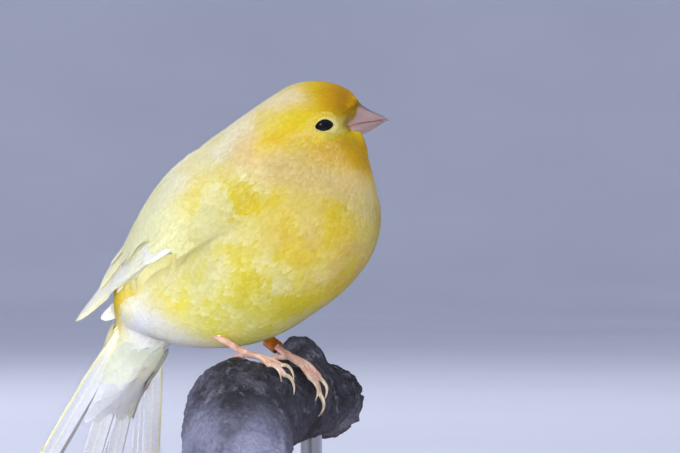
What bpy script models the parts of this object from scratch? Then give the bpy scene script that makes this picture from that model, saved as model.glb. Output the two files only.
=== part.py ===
# A canary on a short cut length of branch, life size, as a still museum model on a plain stand.
# The bird faces +X, its right side is -Y and up is +Z. The origin is the middle of the base's underside.
# Sizes are in millimetres here and become metres where a mesh is made.

import math

import bmesh
import bpy
import numpy as np
from mathutils import Matrix, Vector
from mathutils.bvhtree import BVHTree

MM = 0.001
GAP = 0.3

# Body, one row a station from the tail root to the base of the bill:
# x, z, pitch of the axis, half depth, half width, turn of the head to the left
BODY = (
    (-46.5, 62.5, 66.0, 8.8, 8.5, 0.0),
    (-40.5, 67.0, 52.0, 15.4, 14.5, 0.0),
    (-30.0, 72.5, 45.0, 20.8, 19.5, 0.0),
    (-20.3, 79.0, 42.0, 25.0, 22.6, 0.0),
    (-10.2, 86.5, 41.0, 27.3, 24.4, 0.0),
    (-0.7, 92.9, 42.0, 28.0, 24.8, 0.0),
    (8.3, 99.7, 44.0, 26.5, 23.0, 2.0),
    (13.6, 106.4, 46.0, 23.4, 19.2, 9.0),
    (15.9, 112.4, 45.0, 19.2, 14.8, 20.0),
    (17.3, 117.1, 43.0, 15.5, 11.9, 31.0),
    (20.3, 119.5, 33.8, 12.0, 9.9, 36.0),
    (22.6, 120.3, 26.0, 9.2, 7.9, 36.0),
    (24.0, 120.2, 15.0, 6.8, 5.6, 36.0),
    (24.0, 119.5, 0.0, 5.0, 4.2, 36.0),
)
NECK_X = 9.0
TORSO_TOP = 6.0
NECK_TOP = 7.25
BILL_BASE = 13.0
BODY_SIDES = 32

# How deep the wings lie in the sides, and the stations and angles from the back where they do
TUCK = 1.8
TUCK_STATIONS = (0.6, 2.0, 5.2, 6.4)
TUCK_ANGLES = (18.0, 48.0, 88.0, 110.0)

# The face narrows towards the bill: share taken off its width, and where that begins and is complete
FACE_TAPER = 0.42
FACE_TAPER_REACH = (9.0, 15.0)
FACE_TAPER_STATIONS = (9.0, 10.5)

# Eyes, in the head's own frame: ahead of the neck's axis, and height
EYE_AHEAD = 6.2
EYE_HEIGHT = 117.8
EYE_RADIUS = 3.0
EYE_SHOWS = 0.8
LID_THICK = 0.4
EYE_OPENING = (2.3, 1.6)

# Bill, one row a station: ahead of the neck's axis, mouth line, ridge, half width
UPPER_BILL = (
    (13.6, 118.0, 124.3, 3.8),
    (15.2, 118.15, 123.9, 3.7),
    (17.0, 118.35, 122.7, 3.2),
    (19.0, 118.7, 121.5, 2.5),
    (21.0, 118.95, 120.6, 1.6),
    (22.5, 119.05, 119.95, 0.8),
    (23.4, 119.05, 119.45, 0.3),
)
LOWER_BILL = (
    (13.6, 117.7, 115.3, 3.6),
    (15.2, 117.85, 115.0, 3.5),
    (17.0, 118.05, 115.3, 3.0),
    (19.0, 118.4, 116.2, 2.3),
    (21.0, 118.65, 117.5, 1.4),
    (22.4, 118.7, 118.25, 0.6),
)
NOSTRIL_RADIUS = 0.35

# Branch, one row a station from the far end to the near end: x, y, z, radius
BRANCH = (
    (-15.0, 42.0, 41.5, 11.0),
    (-11.0, 26.0, 42.8, 11.4),
    (-6.5, 10.5, 42.4, 11.7),
    (-0.5, -5.0, 41.4, 13.2),
    (3.5, -19.5, 40.2, 14.8),
    (14.0, -32.0, 31.5, 14.8),
    (20.5, -39.0, 18.5, 14.6),
)
BRANCH_SIDES = 20
KNOB_PLACE = (-10.5, 23.5, 52.5)
KNOB_RADIUS = 6.5

# Legs: y of the foot, x of the toe joint, x and z where the leg leaves the feathers
LEG_RIGHT = dict(foot_y=-10.5, joint_x=-1.2, knee=(-13.5, -10.0, 61.5))
LEG_LEFT = dict(foot_y=10.5, joint_x=-4.0, knee=(-14.5, 9.5, 61.5))
SHANK_RADIUS = 0.85
TOE_RADIUS = 0.75
CLAW_LENGTH = 5.5
# Toes: name, arc along the branch from the joint, sideways spread at the tip
TOES = (
    ("inner", 11.0, -4.2),
    ("middle", 15.5, 0.3),
    ("outer", 11.5, 4.6),
    ("hind", -10.5, 0.4),
)

BAND_INNER = 1.45
BAND_OUTER = 1.9
BAND_HEIGHT = 4.0
BAND_PLACE = 0.5

# Right wing at rest, one row a station from the bend to the tip: lower edge, middle, upper edge
WING = (
    ((9.0, -22.0, 93.5), (4.5, -21.2, 102.2), (-1.5, -16.8, 109.8)),
    ((-3.5, -24.0, 88.0), (-9.7, -21.8, 98.9), (-17.3, -13.5, 107.5)),
    ((-24.5, -20.5, 79.3), (-29.5, -16.7, 88.0), (-36.3, -7.0, 94.1)),
    ((-43.5, -13.0, 72.0), (-47.0, -9.7, 78.6), (-51.3, -2.9, 83.8)),
    ((-54.5, -8.6, 67.8), (-56.5, -6.6, 72.6), (-59.0, -2.8, 76.8)),
    ((-67.6, -4.8, 63.4), (-68.0, -4.3, 64.1), (-68.2, -3.8, 64.9)),
)
CORE_ROWS = 11
CORE_COLUMNS = 6
CORE_END = 3.1
# Thickness of the wing's core at stations from the bend to its end
CORE_THICK = (0.7, 1.9, 1.7, 1.3, 1.0)

# Feathers of a wing, innermost first in each tier: station and place across the wing of the root and tip,
# then half width, and height of the feather's middle over the inner face
PRIMARIES = [
    ((1.85, 0.48 - 0.05 * k), (tip, 0.60 - 0.04 * k), 3.2 - 0.13 * k, 1.35)
    for k, tip in enumerate((4.04, 4.18, 4.35, 4.53, 4.71, 4.88, 5.00, 4.96))
]
SECONDARIES = [
    ((1.80, 0.82 - 0.06 * k), (tip, 0.86 - 0.055 * k), 3.2, 1.5)
    for k, tip in enumerate((3.60, 3.75, 3.85, 3.91, 3.96))
]
TERTIALS = [
    ((1.75, 0.93 - 0.05 * k), (tip, 0.95 - 0.035 * k), 3.8, 1.9)
    for k, tip in enumerate((2.85, 3.15, 3.42))
]
GREATER_COVERTS = [
    ((1.30, 0.93 - 0.13 * k), (2.04 - 0.018 * k, 0.90 - 0.13 * k), 3.3, 2.2)
    for k in range(6)
]
PRIMARY_COVERTS = [
    ((1.25, 0.27 - 0.08 * k), (2.06 + 0.025 * k, 0.32 - 0.08 * k), 2.3, 1.95)
    for k in range(3)
]
VANE_THICK = 0.5
VANE_TILT = 0.45
VANE_STAGGER = 0.017

# Tail: root of its fan, angle below level, and one row a feather from the right to the left edge:
# place of the root across the fan, angle from straight back, length
TAIL_ROOT = (-50.3, 65.3)
TAIL_DOWN = 66.5
TAIL_FEATHERS = (
    (-5.6, -19.0, 54.0),
    (-5.2, -18.3, 56.0),
    (-4.8, -17.5, 56.5),
    (-2.4, 2.3, 55.5),
    (-1.4, 3.5, 54.0),
    (-0.5, 4.8, 51.0),
    (0.5, 6.0, 51.0),
    (1.4, 7.2, 54.0),
    (2.4, 8.4, 55.5),
    (4.6, 18.8, 56.5),
    (5.2, 20.6, 56.0),
    (5.8, 22.3, 54.0),
)
TAIL_VANE_HALF = 3.9
TAIL_START = 2.5
TAIL_STEP = 0.3
TAIL_CORE_LENGTH = 12.0
# Coverts over and under the tail root: how many, length, spread of their tips, height over the fan
UPPER_COVERTS = (5, 17.0, 15.0, 2.4)
UNDER_COVERTS = (6, 24.0, 17.0, -2.8)

# Stand
BASE_LONG = 140.0
BASE_WIDE = 124.0
BASE_THICK = 9.0
BASE_CORNER = 8.0
ROD_RADIUS = 3.0
ROD_SPOTS = ((-1.5, -2.0), (-12.0, 30.0))
ROD_SOCKET = 6.0


def start_clean():
    for thing in list(bpy.data.objects):
        bpy.data.objects.remove(thing)


def collection(name):
    group = bpy.data.collections.new(name)
    bpy.context.scene.collection.children.link(group)
    return group


start_clean()
PARTS = collection("canary")
CUTTERS = collection("cutters")


def material(name, colour, roughness, metallic=0.0):
    made = bpy.data.materials.new(name)
    made.use_nodes = True
    shader = made.node_tree.nodes["Principled BSDF"]
    shader.inputs["Base Color"].default_value = (*colour, 1.0)
    shader.inputs["Roughness"].default_value = roughness
    shader.inputs["Metallic"].default_value = metallic
    return made


def along(rows, t):
    """The smooth curve through the rows, at t counted in rows."""
    rows = np.asarray(rows, float)
    last = len(rows) - 1
    i = min(max(int(t), 0), last - 1)
    f = t - i
    before = rows[max(i - 1, 0)]
    here = rows[i]
    after = rows[i + 1]
    beyond = rows[min(i + 2, last)]
    bend = 2.0 * before - 5.0 * here + 4.0 * after - beyond
    twist = 3.0 * here - before - 3.0 * after + beyond
    return 0.5 * (2.0 * here + (after - before) * f + bend * f * f + twist * f ** 3)


def new_object(name, mesh, look, group=PARTS):
    made = bpy.data.objects.new(name, mesh)
    if look is not None:
        mesh.materials.append(look)
    group.objects.link(made)
    return made


def mesh_object(name, points, faces, look, group=PARTS):
    """An object from points in millimetres, with its faces turned outward."""
    mesh = bpy.data.meshes.new(name)
    mesh.from_pydata([tuple(MM * c for c in p) for p in points], [], faces)
    work = bmesh.new()
    work.from_mesh(mesh)
    bmesh.ops.recalc_face_normals(work, faces=work.faces)
    work.to_mesh(mesh)
    work.free()
    mesh.shade_smooth()
    return new_object(name, mesh, look, group)


def loft(name, rings, look, group=PARTS):
    """A closed body through rings of equally many points, its two ends closed to their middles."""
    count = len(rings[0])
    points = [p for ring in rings for p in ring]
    faces = []
    for r in range(len(rings) - 1):
        for k in range(count):
            a = r * count + k
            b = r * count + (k + 1) % count
            faces.append((a, b, b + count, a + count))
    for first, ring in ((0, rings[0]), ((len(rings) - 1) * count, rings[-1])):
        middle = len(points)
        points.append(sum((Vector(p) for p in ring), Vector()) / count)
        for k in range(count):
            faces.append((first + k, first + (k + 1) % count, middle))
    return mesh_object(name, points, faces, look, group)


def tube_mesh(points, radii, resolution=2):
    """A round bar along a curve, as a closed mesh in world space."""
    curve = bpy.data.curves.new("bar", "CURVE")
    curve.dimensions = "3D"
    curve.bevel_depth = MM
    curve.bevel_resolution = resolution
    curve.use_fill_caps = True
    line = curve.splines.new("POLY")
    line.points.add(len(points) - 1)
    for place, p, r in zip(line.points, points, radii):
        place.co = (*(MM * c for c in p), 1.0)
        place.radius = r
    guide = bpy.data.objects.new("bar", curve)
    CUTTERS.objects.link(guide)
    bpy.context.view_layer.update()
    shape = bpy.data.meshes.new_from_object(guide.evaluated_get(bpy.context.evaluated_depsgraph_get()))
    bpy.data.objects.remove(guide)
    work = bmesh.new()
    work.from_mesh(shape)
    bmesh.ops.remove_doubles(work, verts=work.verts, dist=0.02 * MM)
    bmesh.ops.recalc_face_normals(work, faces=work.faces)
    work.to_mesh(shape)
    work.free()
    shape.shade_smooth()
    return shape


def tube(name, points, radii, look, group=PARTS, resolution=2):
    return new_object(name, tube_mesh(points, radii, resolution), look, group)


def ball(name, place, radius, look, group=PARTS, sides=24, rings=14):
    """A sphere, with the mesh in world space so that the object stays at the origin."""
    work = bmesh.new()
    bmesh.ops.create_uvsphere(work, u_segments=sides, v_segments=rings, radius=radius * MM)
    bmesh.ops.translate(work, verts=work.verts, vec=Vector(place) * MM)
    mesh = bpy.data.meshes.new(name)
    work.to_mesh(mesh)
    work.free()
    mesh.shade_smooth()
    return new_object(name, mesh, look, group)


def as_cutter(thing):
    thing.hide_render = True
    thing.display_type = "WIRE"
    return thing


def cut(target, cutter):
    step = target.modifiers.new("cut", "BOOLEAN")
    step.operation = "DIFFERENCE"
    step.object = as_cutter(cutter)


def settle(target):
    """Apply the modifiers and keep only the largest closed surface."""
    bpy.context.view_layer.update()
    shape = bpy.data.meshes.new_from_object(target.evaluated_get(bpy.context.evaluated_depsgraph_get()))
    target.modifiers.clear()
    target.data = shape
    work = bmesh.new()
    work.from_mesh(shape)
    islands = []
    left = set(work.verts)
    while left:
        island = set()
        wave = [left.pop()]
        while wave:
            vert = wave.pop()
            island.add(vert)
            for edge in vert.link_edges:
                other = edge.other_vert(vert)
                if other in left:
                    left.remove(other)
                    wave.append(other)
        islands.append(island)
    islands.sort(key=len)
    for island in islands[:-1]:
        bmesh.ops.delete(work, geom=list(island), context="VERTS")
    work.to_mesh(shape)
    work.free()
    shape.shade_smooth()


def fuse(target, pieces, solver="MANIFOLD"):
    """One Boolean union of the pieces with the target, applied, after which the pieces are removed."""
    group = collection("pieces of " + target.name)
    for piece in pieces:
        for home in list(piece.users_collection):
            home.objects.unlink(piece)
        group.objects.link(piece)
    step = target.modifiers.new("fuse", "BOOLEAN")
    step.operation = "UNION"
    step.operand_type = "COLLECTION"
    step.collection = group
    step.solver = solver
    settle(target)
    for piece in list(group.objects):
        bpy.data.objects.remove(piece)
    bpy.data.collections.remove(group)


def tree_of(thing):
    """A search tree of an object's own mesh, in millimetres."""
    mesh = thing.data
    points = [v.co / MM for v in mesh.vertices]
    faces = [tuple(f.vertices) for f in mesh.polygons]
    return BVHTree.FromPolygons(points, faces)


def turned(place, turn):
    """A place turned about the neck's upright axis."""
    pivot = Vector((NECK_X, 0.0, 0.0))
    return pivot + Matrix.Rotation(math.radians(turn), 3, "Z") @ (Vector(place) - pivot)


def window(value, limits):
    """Rises from 0 to 1 between the first two limits and falls back between the last two."""
    rise = min(max((value - limits[0]) / (limits[1] - limits[0]), 0.0), 1.0)
    fall = min(max((limits[3] - value) / (limits[3] - limits[2]), 0.0), 1.0)
    low = min(rise, fall)
    return low * low * (3.0 - 2.0 * low)


def rise(value, low, high):
    """Climbs smoothly from 0 at low to 1 at high."""
    f = min(max((value - low) / (high - low), 0.0), 1.0)
    return f * f * (3.0 - 2.0 * f)


def body_ring(t, shift=0.0):
    """The outline of the body at a station, moved along its axis by shift."""
    x, z, pitch, depth, width, turn = along(BODY, t)
    tilt = math.radians(pitch)
    ring = []
    for k in range(BODY_SIDES):
        angle = 2.0 * math.pi * k / BODY_SIDES
        from_back = 180.0 - abs(math.degrees(angle) - 180.0)
        tuck = TUCK * window(t, TUCK_STATIONS) * window(from_back, TUCK_ANGLES)
        up = (depth - tuck) * math.cos(angle)
        ahead = x - up * math.sin(tilt) - NECK_X
        narrowed = FACE_TAPER * rise(ahead, *FACE_TAPER_REACH) * rise(t, *FACE_TAPER_STATIONS)
        out = (width - tuck) * math.sin(angle) * (1.0 - narrowed)
        place = (
            x - up * math.sin(tilt) + shift * math.cos(tilt),
            -out,
            z + up * math.cos(tilt) + shift * math.sin(tilt),
        )
        ring.append(turned(place, turn))
    return ring


def body_tree():
    """A search tree of the whole body's skin, from the tail root to the head."""
    steps = 48
    rings = [body_ring(NECK_TOP * 1.3 * k / steps) for k in range(steps + 1)]
    points = [p for ring in rings for p in ring]
    faces = []
    for r in range(steps):
        for k in range(BODY_SIDES):
            a = r * BODY_SIDES + k
            b = r * BODY_SIDES + (k + 1) % BODY_SIDES
            faces.append((a, b, b + BODY_SIDES, a + BODY_SIDES))
    return BVHTree.FromPolygons(points, faces)


def body_piece(name, low, high, steps, look):
    rings = []
    for k in range(steps + 1):
        t = low + (high - low) * k / steps
        shift = GAP / 2.0 if k == 0 and low > 0.0 else 0.0
        if k == steps and high < BILL_BASE:
            shift = -GAP / 2.0
        rings.append(body_ring(t, shift))
    return loft(name, rings, look)


def in_head(ahead, aside, height):
    """A place in the head's own frame: ahead of the neck's axis, to the bird's right, and height."""
    return turned((NECK_X + ahead, -aside, height), BODY[-1][5])


def make_body():
    feather = material("yellow_feather", (0.80, 0.62, 0.08), 0.85)
    torso = body_piece("torso", 0.0, TORSO_TOP, 18, feather)
    neck = body_piece("neck", TORSO_TOP, NECK_TOP, 4, feather)
    head = body_piece("head", NECK_TOP, BILL_BASE, 14, feather)
    return torso, neck, head


def lid_opening(name, centre, outward):
    """A bar of oval section, as wide and high as the eye shows between its lids."""
    along_head = Vector((0.0, 0.0, 1.0)).cross(outward).normalized()
    up = outward.cross(along_head)
    rings = []
    for reach in (1.2, EYE_RADIUS + 2.0):
        ring = []
        for k in range(16):
            angle = 2.0 * math.pi * k / 16
            wide = along_head * EYE_OPENING[0] * math.cos(angle)
            high = up * EYE_OPENING[1] * math.sin(angle)
            ring.append(centre + outward * reach + wide + high)
        rings.append(ring)
    return loft(name, rings, None, CUTTERS)


def make_eyes(head):
    black = material("eye", (0.01, 0.008, 0.008), 0.1)
    shape = tree_of(head)
    for side, name in ((1.0, "eye_right"), (-1.0, "eye_left")):
        inside = in_head(EYE_AHEAD, 0.0, EYE_HEIGHT)
        outward = (in_head(EYE_AHEAD, side, EYE_HEIGHT) - inside).normalized()
        face, normal, index, reach = shape.ray_cast(inside, outward)
        outward = (outward + normal).normalized()
        centre = face - outward * (EYE_RADIUS - EYE_SHOWS)
        lid = ball("lid", centre, EYE_RADIUS + GAP + LID_THICK, None, CUTTERS, 18, 10)
        fuse(head, [lid])
        cut(head, ball("socket of " + name, centre, EYE_RADIUS + GAP, None, CUTTERS, 16, 9))
        cut(head, lid_opening("opening of " + name, centre, outward))
        settle(head)
        ball(name, centre, EYE_RADIUS, black, PARTS, 16, 9)


def bill_ring(row, grown=0.0):
    ahead, mouth, ridge, half = row
    way = 1.0 if ridge > mouth else -1.0
    ridge += way * grown
    mouth -= way * grown
    half += grown
    ring = []
    arc = 10
    for k in range(arc + 1):
        angle = math.pi * k / arc
        ring.append(in_head(ahead, half * math.cos(angle), mouth + (ridge - mouth) * math.sin(angle)))
    ring.append(in_head(ahead, -0.35 * half, mouth))
    ring.append(in_head(ahead, 0.35 * half, mouth))
    return ring


def make_bill(head):
    horn = material("horn", (0.62, 0.47, 0.45), 0.45)
    upper = loft("bill_upper", [bill_ring(row) for row in UPPER_BILL], horn)
    lower = loft("bill_lower", [bill_ring(row) for row in LOWER_BILL], horn)
    for rows in (UPPER_BILL, LOWER_BILL):
        seat = [(rows[0][0] - GAP, *rows[0][1:])] + list(rows[1:])
        cut(head, loft("seat of bill", [bill_ring(row, GAP) for row in seat], None, CUTTERS))
    settle(head)
    for side in (1.0, -1.0):
        nostril = ball("nostril", in_head(15.7, side * 2.75, 121.9), NOSTRIL_RADIUS, None, CUTTERS, 10, 6)
        cut(upper, nostril)


def branch_frame(t):
    x, y, z, radius = along(BRANCH, t)
    step = 0.02
    before = Vector(along(BRANCH, max(t - step, 0.0))[:3])
    after = Vector(along(BRANCH, min(t + step, len(BRANCH) - 1.0))[:3])
    ahead = (after - before).normalized()
    side = ahead.cross(Vector((0.0, 0.0, 1.0))).normalized()
    up = side.cross(ahead)
    return Vector((x, y, z)), side, up, radius


def make_branch():
    bark = material("bark", (0.16, 0.15, 0.16), 0.85)
    rings = []
    steps = 18
    for k in range(steps + 1):
        t = (len(BRANCH) - 1.0) * k / steps
        centre, side, up, radius = branch_frame(t)
        ring = []
        for j in range(BRANCH_SIDES):
            angle = 2.0 * math.pi * j / BRANCH_SIDES
            reach = radius * (1.0 + 0.025 * math.sin(3.0 * angle + 1.7 * t) + 0.02 * math.sin(2.0 * t + angle))
            ring.append(centre + side * reach * math.sin(angle) + up * reach * math.cos(angle))
        rings.append(ring)
    perch = loft("perch", rings, bark)
    knob = ball("knob", KNOB_PLACE, KNOB_RADIUS, None, CUTTERS, 14, 8)
    fuse(perch, [knob])
    for x, y in ROD_SPOTS:
        socket = rod_body("socket", x, y, BASE_THICK + GAP, rod_top(x, y) + GAP, ROD_RADIUS + GAP, None, CUTTERS)
        cut(perch, socket)
    settle(perch)
    return perch


def rod_top(x, y):
    """Height of a rod's upper end, sunk into the underside of the branch."""
    nearest = min((abs(along(BRANCH, 0.05 * k)[1] - y), 0.05 * k) for k in range(100))
    row = along(BRANCH, nearest[1])
    return row[2] - row[3] + ROD_SOCKET


def rod_body(name, x, y, low, high, radius, look, group=PARTS):
    work = bmesh.new()
    bmesh.ops.create_cone(
        work, cap_ends=True, segments=24, radius1=radius * MM, radius2=radius * MM, depth=(high - low) * MM
    )
    bmesh.ops.translate(work, verts=work.verts, vec=Vector((x, y, (low + high) / 2.0)) * MM)
    mesh = bpy.data.meshes.new(name)
    work.to_mesh(mesh)
    work.free()
    mesh.shade_smooth()
    mesh.set_sharp_from_angle(angle=math.radians(40.0))
    return new_object(name, mesh, look, group)


def make_stand():
    wood = material("stand_wood", (0.50, 0.36, 0.22), 0.5)
    steel = material("stand_steel", (0.65, 0.65, 0.66), 0.3, 1.0)
    work = bmesh.new()
    bmesh.ops.create_cube(work, size=1.0)
    bmesh.ops.scale(work, verts=work.verts, vec=Vector((BASE_LONG, BASE_WIDE, BASE_THICK)) * MM)
    bmesh.ops.translate(work, verts=work.verts, vec=Vector((0.0, 0.0, BASE_THICK / 2.0)) * MM)
    upright = [e for e in work.edges if abs(e.verts[0].co.z - e.verts[1].co.z) > 0.5 * BASE_THICK * MM]
    bmesh.ops.bevel(work, geom=upright, offset=BASE_CORNER * MM, segments=5, affect="EDGES", profile=0.5)
    mesh = bpy.data.meshes.new("stand_base")
    work.to_mesh(mesh)
    work.free()
    new_object("stand_base", mesh, wood)
    for x, y in ROD_SPOTS:
        name = "stand_rod_middle" if y < 10.0 else "stand_rod_far"
        rod_body(name, x, y, BASE_THICK + GAP, rod_top(x, y), ROD_RADIUS, steel)


def on_branch(perch_tree, y, angle, height):
    """A place over the branch's skin, at an angle from straight up towards the front."""
    nearest = min((abs(along(BRANCH, 0.02 * k)[1] - y), 0.02 * k) for k in range(280))
    row = along(BRANCH, nearest[1])
    centre = Vector((row[0], y, row[2]))
    outward = Vector((math.sin(angle), 0.0, math.cos(angle)))
    skin, normal, index, reach = perch_tree.ray_cast(centre, outward)
    return skin + outward * height


def make_leg(name, leg, torso, perch_tree):
    skin = material("leg_skin", (0.62, 0.40, 0.35), 0.55)
    horn = material("claw_horn", (0.66, 0.52, 0.42), 0.4)
    side = name.split("_")[1]
    y = leg["foot_y"]
    out = -1.0 if side == "right" else 1.0
    row = min((abs(along(BRANCH, 0.02 * k)[1] - y), k) for k in range(280))
    centre = along(BRANCH, 0.02 * row[1])
    start = math.asin((leg["joint_x"] - centre[0]) / (centre[3] + 1.0))
    joint = on_branch(perch_tree, y, start, TOE_RADIUS + GAP + 0.5)
    knee = Vector(leg["knee"])
    shank = [knee.lerp(joint, f) for f in (0.0, 0.3, 0.6, 0.9, 1.0)]
    radii = [1.15, 0.95, SHANK_RADIUS, SHANK_RADIUS + 0.05, SHANK_RADIUS + 0.3]
    target = tube(name, shank, radii, skin, PARTS, 3)
    above = knee + (knee - joint).normalized() * GAP
    socket_line = [above] + shank[1:3]
    cut(torso, tube("seat of " + name, socket_line, [r + GAP for r in radii[:3]], None, CUTTERS, 3))
    toes = []
    for toe, arc, spread in TOES:
        steps = 7
        reach = centre[3] + TOE_RADIUS + GAP
        route = [joint]
        for k in range(1, steps + 1):
            f = k / steps
            angle = start + arc * f / reach
            route.append(on_branch(perch_tree, y + out * spread * f ** 0.8, angle, TOE_RADIUS + GAP + 0.15))
        widths = [TOE_RADIUS + 0.25] + [TOE_RADIUS * (1.0 - 0.2 * k / steps) for k in range(1, steps + 1)]
        toes.append(tube("toe", route, widths, None, CUTTERS, 2))
        tip = route[-1]
        onward = (route[-1] - route[-2]).normalized()
        make_claw(f"claw_{side}_{toe}", tip, onward, perch_tree, y, arc, start, reach, out * spread, horn)
    fuse(target, toes)
    return shank


def make_claw(name, tip, onward, perch_tree, y, arc, start, reach, aside, look):
    """A claw that carries its toe's line on and bends in over the branch, ending clear of it."""
    steps = 6
    way = 1.0 if arc > 0.0 else -1.0
    points = []
    for k in range(steps + 1):
        f = k / steps
        angle = start + (arc + way * (0.45 + CLAW_LENGTH * f)) / reach
        height = TOE_RADIUS + GAP + 0.25 + 0.9 * math.sin(math.pi * f) - 0.35 * f
        points.append(on_branch(perch_tree, y + aside, angle, height))
    points[0] = tip + onward * (GAP + 0.05)
    radii = [0.6 * (1.0 - 0.8 * k / steps) for k in range(steps + 1)]
    tube(name, points, radii, look)


def make_band(shank, torso):
    amber = material("band_amber", (0.75, 0.33, 0.03), 0.3)
    start = shank[0].lerp(shank[-1], BAND_PLACE)
    along_leg = (shank[-1] - shank[0]).normalized()
    profile = [
        (BAND_OUTER, BAND_HEIGHT / 2.0),
        (BAND_OUTER, -BAND_HEIGHT / 2.0),
        (BAND_INNER, -BAND_HEIGHT / 2.0),
        (BAND_INNER, BAND_HEIGHT / 2.0),
    ]
    turn = along_leg.to_track_quat("Z", "Y").to_matrix()
    count = 24
    points = []
    faces = []
    for k in range(count):
        angle = 2.0 * math.pi * k / count
        for r, h in profile:
            points.append(start + turn @ Vector((r * math.cos(angle), r * math.sin(angle), h)))
    for k in range(count):
        for j in range(4):
            a = k * 4 + j
            b = k * 4 + (j + 1) % 4
            c = ((k + 1) % count) * 4 + (j + 1) % 4
            d = ((k + 1) % count) * 4 + j
            faces.append((a, b, c, d))
    reach = BAND_HEIGHT / 2.0 + GAP
    ends = [start - along_leg * reach, start + along_leg * reach]
    cut(torso, tube("room for band", ends, [BAND_OUTER + GAP] * 2, None, CUTTERS, 4))
    band = mesh_object("leg_band", points, faces, amber)
    band.data.set_sharp_from_angle(angle=math.radians(40.0))


def wing_sheet(t, v):
    """A place on the folded right wing: t in stations from the bend to the tip, v from lower to upper edge."""
    low, middle, high = (Vector(along([row[k] for row in WING], t)) for k in range(3))
    return low * (1.0 - v) * (1.0 - 2.0 * v) + middle * 4.0 * v * (1.0 - v) + high * v * (2.0 * v - 1.0)


def clear_of(tree, place, clearance):
    """The place, moved out where it lies nearer than the clearance to a closed shape, or in it."""
    skin, normal, index, away = tree.find_nearest(place)
    depth = (place - skin).dot(normal)
    if depth >= clearance:
        return place
    return skin + normal * clearance


def vane(name, places, acrosses, normals, halves, thick, tilt, push=None):
    """A closed feather: three points across on each face of every station, and one at the tip."""
    points = []
    for place, across, normal, half in zip(places, acrosses, normals, halves):
        for face, edge in ((0.5, 0.55), (-0.5, 0.55)):
            for w in (-1.0, 0.0, 1.0):
                deep = thick * face * (1.0 if w == 0.0 else edge)
                points.append(place + across * (w * half) + normal * (deep - tilt * w))
    if push is not None:
        points = [push(p) for p in points]
    faces = []
    last = len(places) - 1
    for i in range(last):
        for c in range(2):
            a = 6 * i + c
            faces.append((a, a + 1, a + 7))
            faces.append((a, a + 7, a + 6))
            faces.append((a + 3, a + 10, a + 4))
            faces.append((a + 3, a + 9, a + 10))
        for top, bottom in ((6 * i, 6 * i + 3), (6 * i + 5, 6 * i + 2)):
            faces.append((top, top + 6, bottom + 6))
            faces.append((top, bottom + 6, bottom))
    faces += [(0, 3, 4), (0, 4, 1), (1, 4, 5), (1, 5, 2)]
    tip = len(points)
    onward = places[last] - places[last - 1]
    point = places[last] + onward.normalized() * halves[last] * 0.9
    points.append(push(point) if push is not None else point)
    end = 6 * last
    rim = (end, end + 1, end + 2, end + 5, end + 4, end + 3)
    faces += [(rim[k], rim[(k + 1) % 6], tip) for k in range(6)]
    return mesh_object(name, points, faces, None, CUTTERS)


VANE_SHAPE = ((0.0, 0.5), (0.4, 0.95), (0.82, 0.95), (0.97, 0.45))
SHORT_SHAPE = ((0.0, 0.7), (0.55, 1.0), (0.92, 0.6))


def wing_frame(t, v):
    """Place, direction to the upper edge and outward normal of the folded right wing."""
    last = len(WING) - 1.0
    step = 0.05
    onward = wing_sheet(min(t + step, last), v) - wing_sheet(max(t - step, 0.0), v)
    rise = wing_sheet(t, min(v + step, 1.0)) - wing_sheet(t, max(v - step, 0.0))
    normal = onward.cross(rise).normalized()
    if normal.y > 0.0:
        normal.negate()
    across = onward.cross(normal).normalized()
    if across.dot(rise) < 0.0:
        across.negate()
    return wing_sheet(t, v), across, normal


def wing_vane(order, root, tip, half, height, shape, skin_tree):
    """One feather of the right wing, its outer web over the next feather's inner web."""
    places = []
    acrosses = []
    normals = []
    halves = []
    for s, wide in shape:
        t = root[0] + (tip[0] - root[0]) * s
        v = root[1] + (tip[1] - root[1]) * s
        place, across, normal = wing_frame(t, v)
        place = clear_of(skin_tree, place, GAP + 0.3)
        fall = height * (1.0 - 0.25 * s)
        places.append(place + normal * fall)
        acrosses.append(across)
        normals.append(normal)
        halves.append(half * wide)

    def push(point):
        return clear_of(skin_tree, point, GAP + 0.5 + VANE_STAGGER * order)

    return vane("feather", places, acrosses, normals, halves, VANE_THICK, VANE_TILT, push)


def wing_core(skin_tree, look):
    """The inner slab of the right wing, which every feather's root is sunk in."""
    inner = []
    outer = []
    for r in range(CORE_ROWS + 1):
        f = r / CORE_ROWS
        t = CORE_END * f
        thick = float(along([(c,) for c in CORE_THICK], (len(CORE_THICK) - 1.0) * f)[0])
        narrow = 0.55 + 0.43 * min(f * 4.0, 1.0)
        for c in range(CORE_COLUMNS + 1):
            v = 0.5 + (c / CORE_COLUMNS - 0.5) * narrow
            place, across, normal = wing_frame(t, v)
            place = clear_of(skin_tree, place, GAP + 0.5)
            edge = abs(2.0 * c / CORE_COLUMNS - 1.0)
            inner.append(place)
            outer.append(place + normal * max(thick * (1.0 - 0.45 * edge ** 3), 0.6))
    count = len(inner)
    wide = CORE_COLUMNS + 1
    faces = []
    for r in range(CORE_ROWS):
        for c in range(CORE_COLUMNS):
            a = r * wide + c
            faces.append((a, a + 1, a + wide + 1))
            faces.append((a, a + wide + 1, a + wide))
            faces.append((a + count, a + wide + 1 + count, a + 1 + count))
            faces.append((a + count, a + wide + count, a + wide + 1 + count))
    rim = [c for c in range(CORE_COLUMNS)]
    rim += [r * wide + CORE_COLUMNS for r in range(CORE_ROWS)]
    rim += [CORE_ROWS * wide + CORE_COLUMNS - c for c in range(CORE_COLUMNS)]
    rim += [(CORE_ROWS - r) * wide for r in range(CORE_ROWS)]
    for k, a in enumerate(rim):
        b = rim[(k + 1) % len(rim)]
        faces.append((a, b, b + count))
        faces.append((a, b + count, a + count))
    return mesh_object("wing_right", inner + outer, faces, look)


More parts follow.
